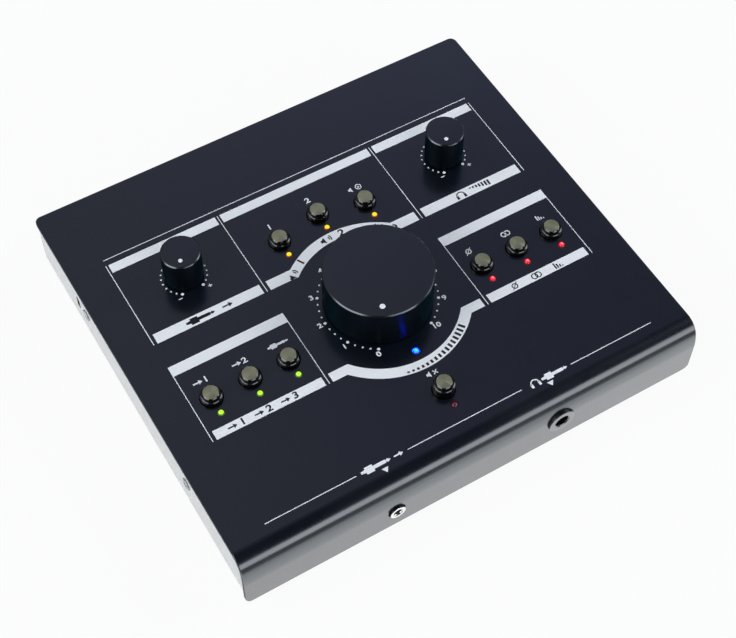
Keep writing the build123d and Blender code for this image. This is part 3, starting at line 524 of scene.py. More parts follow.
# ---------------------------------------------------------------- repeated pieces by geometry nodes
def new_tree(name, sockets):
    """Tree with these inputs (name, kind, default) and a geometry result, and its input node."""
    tree = bpy.data.node_groups.new(name, "GeometryNodeTree")
    tree.interface.new_socket(name="Geometry", in_out="OUTPUT", socket_type="NodeSocketGeometry")
    for label, kind, default in sockets:
        socket = tree.interface.new_socket(name=label, in_out="INPUT", socket_type=f"NodeSocket{kind}")
        if default is not None:
            socket.default_value = default
    return tree, add_node(tree, "NodeGroupInput").outputs


def copy_on_points(tree, points, shape, finish, **placing):
    """Last nodes of a tree: a copy of the shape on each point, made real and given its finish."""
    group = add_node(tree, "GeometryNodeInstanceOnPoints", {
        "Points": points, "Instance": shape, **placing})
    real = add_node(tree, "GeometryNodeRealizeInstances", {"Geometry": group.outputs["Instances"]})
    coated = add_node(tree, "GeometryNodeSetMaterial", {
        "Geometry": real.outputs["Geometry"], "Material": finish})
    add_node(tree, "NodeGroupOutput", {"Geometry": coated.outputs["Geometry"]})


def copies_tree():
    """One copy of a piece on each point, turned by the point's own angles."""
    tree, given = new_tree("copies_on_points", (
        ("Points", "Geometry", None), ("Piece", "Object", None), ("Finish", "Material", None)))
    shape = add_node(tree, "GeometryNodeObjectInfo", {"Object": given["Piece"]})
    angles = add_node(tree, "GeometryNodeInputNamedAttribute", {"Name": "turn"}, data_type="FLOAT_VECTOR")
    turn = add_node(tree, "FunctionNodeEulerToRotation", {"Euler": angles.outputs["Attribute"]})
    copy_on_points(tree, given["Points"], shape.outputs["Geometry"], given["Finish"],
                   Rotation=turn.outputs["Rotation"])
    return tree


def shape_by(piece, tree, values):
    """Shape a piece by a tree, with its inputs given by name, and settle it."""
    modifier = piece.modifiers.new("shaping", "NODES")
    modifier.node_group = tree
    identifiers = {item.name: item.identifier for item in tree.interface.items_tree
                   if item.item_type == "SOCKET" and item.in_out == "INPUT"}
    for name, value in values.items():
        modifier[identifiers[name]] = value
    return settle(piece)


def copies(name, tree, piece, places, turns, finish):
    """One mesh with a copy of the piece, which is used up, at each place."""
    mesh = bpy.data.meshes.new(name)
    mesh.from_pydata(places, [], [])
    attribute = mesh.attributes.new("turn", "FLOAT_VECTOR", "POINT")
    for index, angles in enumerate(turns):
        attribute.data[index].vector = angles
    group = shape_by(new_object(name, mesh), tree, {"Piece": piece, "Finish": finish})
    bpy.data.objects.remove(piece)
    return group


def dot_ring_tree():
    """Printed dots round a dial, larger where a number stands."""
    tree, given = new_tree("dial_dots", (
        ("Dots", "Int", 11), ("Centre", "Vector", None), ("Radius", "Float", 0.02),
        ("First Angle", "Float", None), ("Step", "Float", None), ("Large Every", "Int", 4),
        ("Small Size", "Float", 0.0003), ("Large Size", "Float", 0.0005), ("Thickness", "Float", 0.00003),
        ("Finish", "Material", None)))
    index = add_node(tree, "GeometryNodeInputIndex").outputs["Index"]
    angle = maths(tree, "ADD", given["First Angle"], maths(tree, "MULTIPLY", index, given["Step"]))
    reach = maths(tree, "MULTIPLY", given["Radius"], -1.0)
    offset = add_node(tree, "ShaderNodeCombineXYZ", {
        "X": maths(tree, "MULTIPLY", maths(tree, "SINE", angle), reach),
        "Y": maths(tree, "MULTIPLY", maths(tree, "COSINE", angle), reach)})
    place = add_node(tree, "ShaderNodeVectorMath", {0: offset.outputs[0], 1: given["Centre"]},
                     operation="ADD")
    points = add_node(tree, "GeometryNodePoints", {"Count": given["Dots"], "Position": place.outputs[0]})
    is_small = maths(tree, "GREATER_THAN", maths(tree, "MODULO", index, given["Large Every"]), 0.5)
    less = maths(tree, "SUBTRACT", given["Large Size"], given["Small Size"])
    size = maths(tree, "SUBTRACT", given["Large Size"], maths(tree, "MULTIPLY", is_small, less))
    scale = add_node(tree, "ShaderNodeCombineXYZ", {"X": size, "Y": size, "Z": given["Thickness"]})
    dot = add_node(tree, "GeometryNodeMeshCylinder", {"Vertices": 20, "Radius": 1.0, "Depth": 1.0})
    copy_on_points(tree, points.outputs[0], dot.outputs["Mesh"], given["Finish"], Scale=scale.outputs[0])
    return tree


# ---------------------------------------------------------------- printing
INK_THICKNESS = 0.03
DARK_INK_LIFT = 0.02          # how far the dark ink stands above the white
DIGIT_WIDTH = 1.2             # digits are drawn this much wider than the plain face
DIGIT_HEIGHT = 0.7            # height of a digit of size 1
DIGIT_BOLD = 0.03


class Print:
    """Thin closed solids of ink on the panel, gathered into one mesh. Sizes are in millimetres."""

    def __init__(self, name, finish, lift):
        self.name = name
        self.finish = finish
        self.base = panel_z + (lift - INK_THICKNESS / 2) * MM
        self.mesh = bmesh.new()

    def _add(self, data, place, turn, size, widen=1.0):
        data.extrude = INK_THICKNESS / 2
        depsgraph = bpy.context.evaluated_depsgraph_get()
        holder = new_object("ink_shape", data)
        depsgraph.update()
        flat = bpy.data.meshes.new_from_object(holder.evaluated_get(depsgraph))
        bpy.data.objects.remove(holder)
        scale = Matrix.Diagonal((size * widen * MM, size * MM, MM, 1))
        flat.transform(Matrix.Translation((place[0] * MM, back(place[1]), self.base))
                       @ Matrix.Rotation(math.radians(turn), 4, "Z") @ scale)
        self.mesh.from_mesh(flat)
        bpy.data.meshes.remove(flat)

    def shape(self, loops, place=(0.0, 0.0), size=1.0, turn=0.0):
        """Filled outline: each loop is a list of points, and a loop inside another is a hole."""
        data = bpy.data.curves.new("ink_outline", "CURVE")
        data.dimensions = "2D"
        data.fill_mode = "BOTH"
        for loop in loops:
            spline = data.splines.new("POLY")
            spline.points.add(len(loop) - 1)
            for point, (x, y) in zip(spline.points, loop):
                point.co = (x, y, 0, 1)
            spline.use_cyclic_u = True
        self._add(data, place, turn, size)

    def box(self, x0, y0, x1, y1):
        self.shape([box_loop(x0, y0, x1, y1)])

    def digits(self, text, place, height, turn=0.0):
        """Plain numbers, centred on their place."""
        data = bpy.data.curves.new("ink_digits", "FONT")
        data.body = text
        data.size = 1.0
        data.offset = DIGIT_BOLD
        data.resolution_u = 4
        data.align_x = "CENTER"
        data.align_y = "CENTER"
        self._add(data, place, turn, height / DIGIT_HEIGHT, DIGIT_WIDTH)

    def sign(self, sign, place, size, turn=0.0):
        """A number's digits, or the loops of a sign."""
        draw = self.digits if isinstance(sign, str) else self.shape
        draw(sign, place, size, turn)

    def finished(self):
        bmesh.ops.remove_doubles(self.mesh, verts=self.mesh.verts, dist=1e-7)
        bmesh.ops.recalc_face_normals(self.mesh, faces=self.mesh.faces)
        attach(object_from(self.name, self.mesh, [self.finish]), "root")


def box_loop(x0, y0, x1, y1):
    return [(x0, y0), (x1, y0), (x1, y1), (x0, y1)]


def plus_loop(reach, half):
    """Plus sign: arms that end at reach, and are half wide to each side."""
    arm = [(reach, -half), (reach, half), (half, half)]
    return [(x * cos - y * sin, x * sin + y * cos)
            for cos, sin in ((1, 0), (0, 1), (-1, 0), (0, -1)) for x, y in arm]


def arc(radius, start, end, centre=(0.0, 0.0), steps=48):
    """Points on an arc: angles in degrees, anticlockwise from +X."""
    points = []
    for step in range(steps + 1):
        angle = math.radians(start + (end - start) * step / steps)
        points.append((centre[0] + radius * math.cos(angle), centre[1] + radius * math.sin(angle)))
    return points


def ring_loops(inner, outer):
    return [arc(radius, 0, 360, steps=40)[:-1] for radius in (outer, inner)]


# Signs are drawn one unit high about their middle.
def both_sides(upper):
    """Closed outline from its upper half, mirrored about the middle line."""
    return [[(x, -y) for x, y in upper] + [(x, y) for x, y in reversed(upper) if y]]


def plug_sign():
    """Side view of a plug: boot, grip, sleeve and pointed tip."""
    return both_sides([
        (-2.1, 0.16), (-1.45, 0.24), (-1.45, 0.5), (-0.35, 0.5), (-0.35, 0.24), (1.35, 0.24),
        (1.42, 0.12), (1.55, 0.12), (1.62, 0.26), (2.1, 0.0),
    ])


def headphones_sign():
    band = arc(0.62, 180, 0, (0.0, -0.1), 24) + arc(0.47, 0, 180, (0.0, -0.1), 24)
    return [band, box_loop(-0.68, -0.55, -0.36, 0.02), box_loop(0.36, -0.55, 0.68, 0.02)]


def speaker_sign():
    """Loudspeaker with its cone, facing right."""
    return [[(-0.5, -0.2), (-0.25, -0.2), (0.1, -0.5), (0.1, 0.5), (-0.25, 0.2), (-0.5, 0.2)]]


def wave_loops():
    """Sound waves, to the right of a loudspeaker."""
    centre = (0.02, 0)
    return [arc(radius, -42, 42, centre, 12) + arc(radius - 0.14, 42, -42, centre, 12)
            for radius in (0.34, 0.58)]


def arrow_sign():
    """Arrow to the right."""
    return both_sides([(-0.7, 0.11), (0.15, 0.11), (0.15, 0.36), (0.7, 0.0)])


def turn_over_sign():
    """Ring with a slash: two shapes, one over the other."""
    slash = [(-0.47, -0.54), (-0.54, -0.47), (0.47, 0.54), (0.54, 0.47)]
    return ring_loops(0.28, 0.42), [slash]


def woofer_sign():
    """Round dot in a ring."""
    return ring_loops(0.36, 0.5) + [arc(0.17, 0, 360, steps=16)[:-1]]


def steps_sign(count=4, pitch=0.36, width=0.22):
    """Bars that get shorter to the right."""
    loops = []
    for step in range(count):
        x = (step - (count - 1) / 2) * pitch
        loops.append(box_loop(x - width / 2, -0.5, x + width / 2, 0.5 - 0.8 * step / (count - 1)))
    return loops


# Printed layout in millimetres: across from the middle, and back from the front face.
LINE_WIDTH = 0.34
TOP_LINE_BACK = 156.1
TOP_LINE_SPAN = (-91.0, 91.4)
UPPER_BAR = (148.5, 153.0)
UPPER_BAR_SPANS = ((-90.15, -39.45), (-37.15, 37.05), (39.45, 90.25))
UPPER_FOOT = (107.0, 112.0)
LOWER_BAR = (89.4, 94.4)
LOWER_FOOT = (54.7, 59.1)
FRONT_LINE_BACK = 13.0
FRONT_LINE_SPANS = ((-90.95, -50.45), (-26.95, 27.05), (51.05, 91.45))
FRONT_MARKS = (-38.85, 39.15)  # small triangles over the front sockets, which point to them
FRONT_MARK_BACK = 9.7
COLUMN_OUTER = 91.28
COLUMN_INNER = 38.28
FOOT_OUTER = 89.55
FOOT_INNER = 39.85
ARC_INNER = 35.0
ARC_OUTER = 39.7
ARC_MIDDLE = (ARC_INNER + ARC_OUTER) / 2
BAND_END = 36.65              # where a band's arc about the master knob goes over into its straight end
SIGN_BEHIND = 8.7             # from a button's middle to the sign behind it
DIAL_START = 30.0             # from the front, clockwise to the start of a dial's scale, in degrees
NUMBER_STEP = 30.0
NUMBER_REACH = 27.9
NUMBER_HEIGHT = 2.3
SMALL_DOT = 0.41
LARGE_DOT = 0.66
MINUS_PLACE = (-6.6, -10.2)   # from the middle of a small dial
PLUS_PLACE = (7.2, -10.2)
PLUS_ARM = 0.85
PLUS_HALF = 0.21              # half the width of an arm
LEVEL_BARS = 16
LEVEL_BARS_START = -102.0     # angle of the first of the bars that grow along the lower band
LEVEL_BARS_STEP = 3.3


def band_loop(bar, over):
    """Bar with an arc about the master knob in its middle: over the knob, or under it."""
    outer_edge, inner_edge = reversed(bar) if over else bar
    start = 180 if over else -180
    outer = math.degrees(math.asin((outer_edge - master_back) / ARC_OUTER))
    inner = math.degrees(math.asin((inner_edge - master_back) / ARC_INNER))
    centre = (0.0, master_back)
    return [
        (-BAND_END, outer_edge), *arc(ARC_OUTER, start - outer, outer, centre, 64),
        (BAND_END, outer_edge), (BAND_END, inner_edge),
        *arc(ARC_INNER, inner, start - inner, centre, 64), (-BAND_END, inner_edge),
    ]


def print_frames(white):
    """Bars, bands and thin lines that divide the panel."""
    half = LINE_WIDTH / 2
    white.box(TOP_LINE_SPAN[0], TOP_LINE_BACK - half, TOP_LINE_SPAN[1], TOP_LINE_BACK + half)
    for start, end in UPPER_BAR_SPANS:
        white.box(start, UPPER_BAR[0], end, UPPER_BAR[1])
    for x in (-COLUMN_OUTER, -COLUMN_INNER, COLUMN_INNER, COLUMN_OUTER):
        white.box(x - half, UPPER_FOOT[0], x + half, UPPER_BAR[1])
        white.box(x - half, LOWER_FOOT[0], x + half, LOWER_BAR[1])
    for side in (-1, 1):
        low, high = sorted((side * (COLUMN_OUTER - half), side * (COLUMN_INNER + half)))
        white.box(low, LOWER_BAR[0], high, LOWER_BAR[1])
        low, high = sorted((side * FOOT_OUTER, side * FOOT_INNER))
        for foot in (UPPER_FOOT, LOWER_FOOT):
            white.box(low, foot[0], high, foot[1])
    white.shape([band_loop(UPPER_FOOT, over=True)])
    white.shape([band_loop(LOWER_FOOT, over=False)])
    for start, end in FRONT_LINE_SPANS:
        white.box(start, FRONT_LINE_BACK - half, end, FRONT_LINE_BACK + half)
    for x in FRONT_MARKS:
        y = FRONT_MARK_BACK
        white.shape([[(x - 1.5, y + 0.9), (x, y - 1.3), (x + 1.5, y + 0.9)]])


def print_dials(white):
    """Numbers of the master dial, and the ends of the small dials."""
    for number in range(11):
        angle = math.radians(DIAL_START + NUMBER_STEP * number)
        place = (-NUMBER_REACH * math.sin(angle), master_back - NUMBER_REACH * math.cos(angle))
        white.digits(str(number), place, NUMBER_HEIGHT)
    minus = [box_loop(-PLUS_ARM, -PLUS_HALF, PLUS_ARM, PLUS_HALF)]
    plus = [plus_loop(PLUS_ARM, PLUS_HALF)]
    for place in level_places.values():
        x, y = place.x / MM, (place.y - front_y) / MM
        for loops, offset in ((minus, MINUS_PLACE), (plus, PLUS_PLACE)):
            white.shape(loops, (x + offset[0], y + offset[1]))


def print_button_signs(white):
    """Generic signs and numbers behind the buttons."""
    ring, slash = turn_over_sign()
    channel = ring_loops(0.30, 0.48)
    stroke = [box_loop(-0.45, -0.08, 0.45, 0.08)]
    for button, sign, across, size, turn in (
        ("speaker_a", "1", -0.2, 2.7, 0),
        ("speaker_b", "2", -0.2, 2.7, 0),
        ("source_1", arrow_sign(), -1.7, 3.0, 0),
        ("source_1", "1", 1.9, 2.6, 0),
        ("source_2", arrow_sign(), -1.7, 3.0, 0),
        ("source_2", "2", 1.9, 2.6, 0),
        ("source_3", plug_sign(), -0.2, 2.3, 0),
        ("speaker_sub", woofer_sign(), 1.7, 3.0, 0),
        ("speaker_sub", speaker_sign(), -1.9, 2.9, 0),
        ("phase", ring, -1.2, 3.3, 0),
        ("phase", slash, -1.2, 3.3, 0),
        ("mono", channel, -0.9, 2.9, 0),
        ("mono", channel, 0.9, 2.9, 0),
        ("dim", steps_sign(), 0.0, 2.7, 0),
        ("mute", speaker_sign(), -1.1, 3.0, 0),
        ("mute", stroke, 1.5, 2.8, 45),
        ("mute", stroke, 1.5, 2.8, -45),
    ):
        place = button_places[button]
        x, y = place.x / MM, (place.y - front_y) / MM
        white.sign(sign, (x + across, y + SIGN_BEHIND), size, turn)


def print_front_signs(white):
    """Signs in the gaps of the front line, over the two front sockets."""
    for sign, x, size in (
        (plug_sign(), -41.5, 3.2), (arrow_sign(), -31.2, 3.0),
        (headphones_sign(), 33.5, 3.4), (plug_sign(), 43.0, 3.0),
    ):
        white.sign(sign, (x, FRONT_LINE_BACK), size)


def print_bar_signs(dark):
    """Dark signs on the white bars and bands."""
    upper = sum(UPPER_FOOT) / 2
    lower = sum(LOWER_FOOT) / 2
    ring, slash = turn_over_sign()
    channel = ring_loops(0.33, 0.48)
    for sign, x, y, size, turn in (
        (plug_sign(), -68.5, upper, 3.2, 0),
        (arrow_sign(), -56.0, upper, 3.4, 0),
        (headphones_sign(), 59.5, upper, 3.5, 0),
        (steps_sign(7, 0.5, 0.3), 69.5, upper, 3.0, 180),
        (arrow_sign(), -81.4, lower, 3.0, 0),
        ("1", -76.8, lower, 3.0, 0),
        (arrow_sign(), -69.4, lower, 3.0, 0),
        ("2", -64.8, lower, 3.0, 0),
        (arrow_sign(), -57.4, lower, 3.0, 0),
        ("3", -52.8, lower, 3.0, 0),
        (ring, 53.0, lower, 3.4, 0),
        (slash, 53.0, lower, 3.4, 0),
        (channel, 63.0, lower, 3.2, 0),
        (channel, 64.9, lower, 3.2, 0),
        (steps_sign(), 75.0, lower, 3.1, 0),
    ):
        dark.sign(sign, (x, y), size, turn)

    def on_band(sign, degrees, size, over=True):
        angle = math.radians(degrees)
        place = (ARC_MIDDLE * math.cos(angle), master_back + ARC_MIDDLE * math.sin(angle))
        dark.sign(sign, place, size, degrees - 90 if over else degrees + 90)

    for degrees in (126, 90, 54):
        on_band(speaker_sign(), degrees + 7, 3.5)
        on_band(wave_loops(), degrees + 5, 3.8)
    for number, degrees in (("1", 120), ("2", 84), ("3", 48)):
        on_band(number, degrees, 3.3)
    for step in range(LEVEL_BARS):
        height = 0.25 + 0.75 * step / (LEVEL_BARS - 1)
        bar = [box_loop(-0.17, -0.5, 0.17, height - 0.5)]
        on_band(bar, LEVEL_BARS_START + LEVEL_BARS_STEP * step, 3.2, over=False)


def dress_panel_print():
    white = Print("panel_print_white", ink, INK_THICKNESS / 2)
    print_frames(white)
    print_dials(white)
    print_button_signs(white)
    print_front_signs(white)
    white.finished()
    dark = Print("panel_print_dark", dark_ink, INK_THICKNESS / 2 + DARK_INK_LIFT)
    print_bar_signs(dark)
    dark.finished()


def dress_dial_dots():
    """Rings of dots round the dials: a ring's dots, radius, step in degrees, and large dots."""
    rings = dot_ring_tree()
    for name, place, dots, radius, step, every in (
        ("master_dial_dots", master_place, 41, 25.45, 7.5, 4),
        ("aux_dial_dots", level_places["aux"], 21, 9.8, 15.0, 20),
        ("phones_dial_dots", level_places["phones"], 21, 9.8, 15.0, 20),
    ):
        piece = shape_by(new_object(name, bpy.data.meshes.new(name)), rings, {
            "Dots": dots, "Centre": (place.x, place.y, panel_z + INK_THICKNESS / 2 * MM),
            "Radius": radius * MM, "First Angle": math.radians(DIAL_START), "Step": math.radians(step),
            "Large Every": every, "Small Size": SMALL_DOT * MM, "Large Size": LARGE_DOT * MM,
            "Thickness": INK_THICKNESS * MM, "Finish": ink})
        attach(piece, "root")


# ---------------------------------------------------------------- knobs
KNOB_EDGE = 0.5               # flat break round a knob's top
KNOB_CROWN = 0.03             # rise of the top's middle, as a share of the radius
KNOB_TOP = 2.5                # from the end of the shaft's bore to the top
KNOB_RECESS = 5.5             # the recess under a knob ends this far above the panel
SHAFT_BORE = 3.0
POINTER_ANGLE = 26.0          # from the front, clockwise
POINTER_DEPTH = 0.1           # paint below the top, and above it
POINTER_RISE = 0.04


def dress_knob(name, recess, dot_across, dot_radius):
    """Turned knob with a flat broken top edge, and its painted pointer dot."""
    node = f"{name}_knob"
    body = f"{name}_knob_body"
    low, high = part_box(node)
    place = middle(node)
    foot = low.z / MM
    top = high.z / MM
    bore_top = top - KNOB_TOP
    radius = (high.x - low.x) / 2 / MM
    recess_top = panel_z / MM + KNOB_RECESS
    face_radius = radius - KNOB_EDGE
    crown = KNOB_CROWN * radius
    profile = rounded([
        (0.0, bore_top), (SHAFT_BORE, bore_top), (SHAFT_BORE, recess_top), (recess, recess_top),
        (recess, foot), (radius, foot, 0.3), (radius, top - crown - KNOB_EDGE, 0.06),
        (face_radius, top - crown, 0.06), (0.9 * face_radius, top - 0.81 * crown),
    ], 3)
    for share in (0.75, 0.6, 0.45, 0.3, 0.15, 0.0):
        profile.append((share * face_radius, top - share**2 * crown))

    # Faces given finish 1 take the darker side colour, which is painted shade.
    def part(across, height):
        inside = across < radius - 1.5 * KNOB_EDGE and height < top - 0.8 * KNOB_TOP
        if inside or height < top - crown - 0.95 * KNOB_EDGE:
            return 1
        return 2 if across > face_radius + 0.02 else 0

    knob = lathe(f"{node}_turned", profile, (place.x, place.y, 0), [knob_face, knob_side_painted_shade, knob_rim],
                 segments=192, parts=part)
    stand_for(knob, body, node)
    ahead = Vector((-math.sin(math.radians(POINTER_ANGLE)), -math.cos(math.radians(POINTER_ANGLE))))
    dot_place = (place.x + dot_across * MM * ahead.x, place.y + dot_across * MM * ahead.y,
                 high.z - (dot_across / face_radius) ** 2 * crown * MM)
    lean = 2 * crown * dot_across / face_radius**2
    dot_profile = rounded([
        (0.0, -POINTER_DEPTH), (dot_radius, -POINTER_DEPTH), (dot_radius, POINTER_RISE, 0.03),
        (0.0, POINTER_RISE),
    ], 3)
    dot = lathe(f"{name}_pointer_dot", dot_profile, dot_place, [ink], segments=40,
                axis=(lean * ahead.x, lean * ahead.y, 1.0))
    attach(dot, body)


# ---------------------------------------------------------------- push buttons
BUTTON_RADIUS = 4.75
BUTTON_SHOULDER = 1.05        # from the top of a button's disc down to the cap's flat shoulder
DISC_RADIUS = 3.6
DISC_FACE = 3.25              # radius of the disc's spun face
PLUNGER_BORE = 1.5
PLUNGER_REACH = 4.5           # how far the plunger stands in the cap


def dress_button(name):
    """Glossy black cap with a raised disc whose face is spun metal."""
    node = f"{name}_button"
    low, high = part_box(node)
    place = middle(node)
    foot = low.z / MM
    top = high.z / MM
    shoulder = top - BUTTON_SHOULDER
    profile = rounded([
        (0.0, foot + PLUNGER_REACH), (PLUNGER_BORE, foot + PLUNGER_REACH), (PLUNGER_BORE, foot),
        (BUTTON_RADIUS, foot, 0.2), (BUTTON_RADIUS, shoulder, 1.0), (DISC_RADIUS, shoulder),
        (DISC_RADIUS, top - 0.35, 0.05), (DISC_FACE, top, 0.05), (0.0, top),
    ])

    def part(across, height):
        return 1 if height > top - 0.02 else 0

    cap = lathe(f"{node}_cap", profile, (place.x, place.y, 0), [cap_black, spun], segments=72, parts=part)
    stand_for(cap, f"{name}_button_body", node)


# ---------------------------------------------------------------- lamps
LENS_RADIUS = 1.5
LENS_HEIGHT = 5.3
FLANGE_RADIUS = 1.9
FLANGE_HEIGHT = 1.0


def dress_lamps(node, names, finish, unlit=()):
    """Lenses with a domed top and a base flange, joined into one piece."""
    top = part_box(node)[1].z / MM
    foot = top - LENS_HEIGHT
    shoulder = foot + FLANGE_HEIGHT
    profile = [(0.0, foot), (FLANGE_RADIUS, foot), (FLANGE_RADIUS, shoulder), (LENS_RADIUS, shoulder)]
    profile += arc(LENS_RADIUS, 0, 80, (0.0, top - LENS_RADIUS), 8)
    profile.append((0.0, top))
    joined = bmesh.new()
    for name in names:
        lamp = lathe("lamp", profile, lamp_places[name], [finish], segments=40)
        for polygon in lamp.data.polygons:
            polygon.material_index = 1 if name in unlit else 0
        joined.from_mesh(lamp.data)
        bpy.data.objects.remove(lamp)
    # An unlit lamp's finish still glows faintly: painted glow.
    finishes = [finish, unlit_red_painted_glow] if unlit else [finish]
    lenses = object_from(f"{node}_lenses", joined, finishes)
    stand_for(smooth(lenses), "root", node)


def dress_all_lamps():
    dress_lamps("amber_lamps", ("speaker_a", "speaker_b", "speaker_sub"), amber)
    dress_lamps("green_lamps", ("source_1", "source_2", "source_3"), green)
    dress_lamps("red_lamps", ("phase", "mono", "dim", "mute"), red, unlit=("mute",))
    dress_lamps("blue_lamp", ("master",), blue)


# ---------------------------------------------------------------- sockets
AUX_BORE = 1.8
AUX_MOUTH = 2.3
AUX_MOUTH_DEPTH = 0.6


def dress_front_sockets():
    """Phones socket, and the aux socket with its plated bushing."""
    low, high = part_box("aux_socket_bushing")
    place = middle("aux_socket_bushing")
    length = (high.y - low.y) / MM
    outer = (high.x - low.x) / 2 / MM
    profile = rounded([
        (AUX_BORE, 0.0), (outer, 0.0), (outer, length, 0.25), (AUX_MOUTH, length, 0.12),
        (AUX_MOUTH, length - AUX_MOUTH_DEPTH), (AUX_BORE, length - AUX_MOUTH_DEPTH), (AUX_BORE, 0.0),
    ])

    def faced(place, normal):
        return 1 if normal.y < -0.3 and place.y < front_y - 0.5 * MM else 0

    # Faces at the bushing's outer wall take the black finish: painted shade of the gap round it. The rest
    # is nickel.
    def plated(across, height):
        return 1 if across > outer - 0.03 else 0

    show_finished("phones_socket", [socket_black, socket_face], faced, bevel=0.08)
    show_finished("aux_socket_body", [socket_black], bevel=0.05)
    bushing = lathe("aux_socket_bushing_turned", profile, (place.x, high.y, place.z),
                    [nickel, socket_black], segments=64, axis=(0, -1, 0), parts=plated)
    stand_for(bushing, "root", "aux_socket_bushing")


def dress_rear():
    """Sockets and power switch in the rear wall."""
    show_finished("line_sockets", [socket_black], bevel=0.1)
    show_finished("power_inlet", [socket_black], bevel=0.1)
    show_finished("power_switch_housing", [moulding_black], bevel=0.1)
    show_finished("power_rocker", [cap_black], bevel=0.1, body="power_rocker_body")
    split = middle("phono_sockets").x

    def phono_part(place, normal):
        if place.y < cover_high.y + 0.45 * MM:
            return 0
        if normal.y > 0.9:
            return 2 if place.x < split else 3
        return 1

    show_finished("phono_sockets", [socket_black, nickel, insulator_white, insulator_red],
                  phono_part, bevel=0.1)


FOOT_RADIUS = 7.0
FOOT_PROFILE = ((0.0, 0.4), (3.4, 0.4), (3.7, 0.0), (5.8, 0.0, 0.9))   # hollow, then the sole
SCREW_HEAD = 2.8
SCREW_SHANK = 1.5
SCREW_LENGTH = 6.0
SCREW_TWISTS = (18, 63)       # how far the cross of the front and of the rear screw is turned
CROSS_SLOTS = ((3.1, 0.8), (0.8, 3.1))
CROSS_DEPTH = 0.4
NUT_FLATS = 12.0              # from flat to flat
NUT_CORNER = NUT_FLATS / math.sqrt(3)
NUT_BORE = 4.45
NUT_COUNT = 7


def cross_screw(name, height, finish):
    """Low cross-recess screw that stands on its seat at height 0."""
    screw = lathe(name, rounded([
        (0.0, -SCREW_LENGTH), (SCREW_SHANK - 0.3, -SCREW_LENGTH), (SCREW_SHANK, 0.3 - SCREW_LENGTH),
        (SCREW_SHANK, 0.0), (SCREW_HEAD, 0.0), (SCREW_HEAD, height, 0.35), (0.0, height),
    ], 4), (0, 0, 0), [finish], segments=48)
    for wide, deep in CROSS_SLOTS:
        slot = box_loop(-wide / 2, -deep / 2, wide / 2, deep / 2)
        cut(screw, prism("cross", slot, height - CROSS_DEPTH, height + 1.0))
    return smooth(screw)


def hexagon_nut(name, height, finish):
    """Hexagon nut with its corners turned down on the outer face."""
    outer = NUT_CORNER + 0.1
    ring = lathe(name, [
        (NUT_BORE, 0.0), (outer, 0.0), (outer, height - 0.45), (NUT_FLATS / 2 - 0.1, height),
        (NUT_BORE + 0.3, height), (NUT_BORE, height - 0.3), (NUT_BORE, 0.0),
    ], (0, 0, 0), [finish], segments=72)
    hexagon = arc(NUT_CORNER, 0, 360, steps=6)[:-1]
    return smooth(cut(ring, prism("hexagon", hexagon, -0.01, height + 0.01), "INTERSECT"))


def dress_fasteners():
    """Feet, side screws and socket nuts: each is one shape, copied to its places."""
    tree = copies_tree()
    low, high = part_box("rubber_feet")
    tall = high.z / MM
    foot = lathe("foot", rounded([*FOOT_PROFILE, (FOOT_RADIUS, tall), (0.0, tall)]), (0, 0, 0), [rubber],
                 segments=64)
    inset = FOOT_RADIUS * MM
    places = [(x, y, 0) for x in (low.x + inset, high.x - inset) for y in (low.y + inset, high.y - inset)]
    feet = copies("rubber_feet_turned", tree, foot, places, [(0, 0, 0)] * 4, rubber)
    stand_for(feet, "root", "rubber_feet")
    low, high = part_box("side_screws")
    wall_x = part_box("base_tray")[1].x
    screw = cross_screw("screw", (high.x - wall_x) / MM, screw_zinc)
    places = []
    turns = []
    for side in (-1, 1):
        for y, twist in zip((low.y + SCREW_HEAD * MM, high.y - SCREW_HEAD * MM), SCREW_TWISTS):
            places.append((side * wall_x, y, (low.z + high.z) / 2))
            outward = Matrix.Rotation(side * math.pi / 2, 3, "Y")
            turns.append((Matrix.Rotation(math.radians(twist * side), 3, "X") @ outward).to_euler("XYZ"))
    screws = copies("side_screws_turned", tree, screw, places, turns, screw_zinc)
    stand_for(screws, "root", "side_screws")
    low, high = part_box("line_socket_nuts")
    nut = hexagon_nut("nut", (high.y - low.y) / MM, nickel)
    corner = NUT_CORNER * MM
    pitch = (high.x - low.x - 2 * corner) / (NUT_COUNT - 1)
    places = [(low.x + corner + pitch * i, low.y, (low.z + high.z) / 2) for i in range(NUT_COUNT)]
    turns = [(-math.pi / 2, 0, 0)] * NUT_COUNT
    nuts = copies("line_socket_nuts_chamfered", tree, nut, places, turns, nickel)
    stand_for(nuts, "root", "line_socket_nuts")


# ---------------------------------------------------------------- studio
def smooth_window(tree, value, low, high, soft):
    """1 between low and high, falling to 0 over soft on each side."""
    rise = spread(tree, value, 0.0, 1.0, low - soft, low + soft, interpolation_type="SMOOTHSTEP")
    fall = spread(tree, value, 1.0, 0.0, high - soft, high + soft, interpolation_type="SMOOTHSTEP")
    return maths(tree, "MULTIPLY", rise, fall)


def ray_kinds(tree):
    """Whether a ray comes from the camera, and whether a glossy or a clear surface sends it."""
    rays = add_node(tree, "ShaderNodeLightPath").outputs
    return rays["Is Camera Ray"], maths(tree, "ADD", rays["Is Glossy Ray"], rays["Is Transmission Ray"])


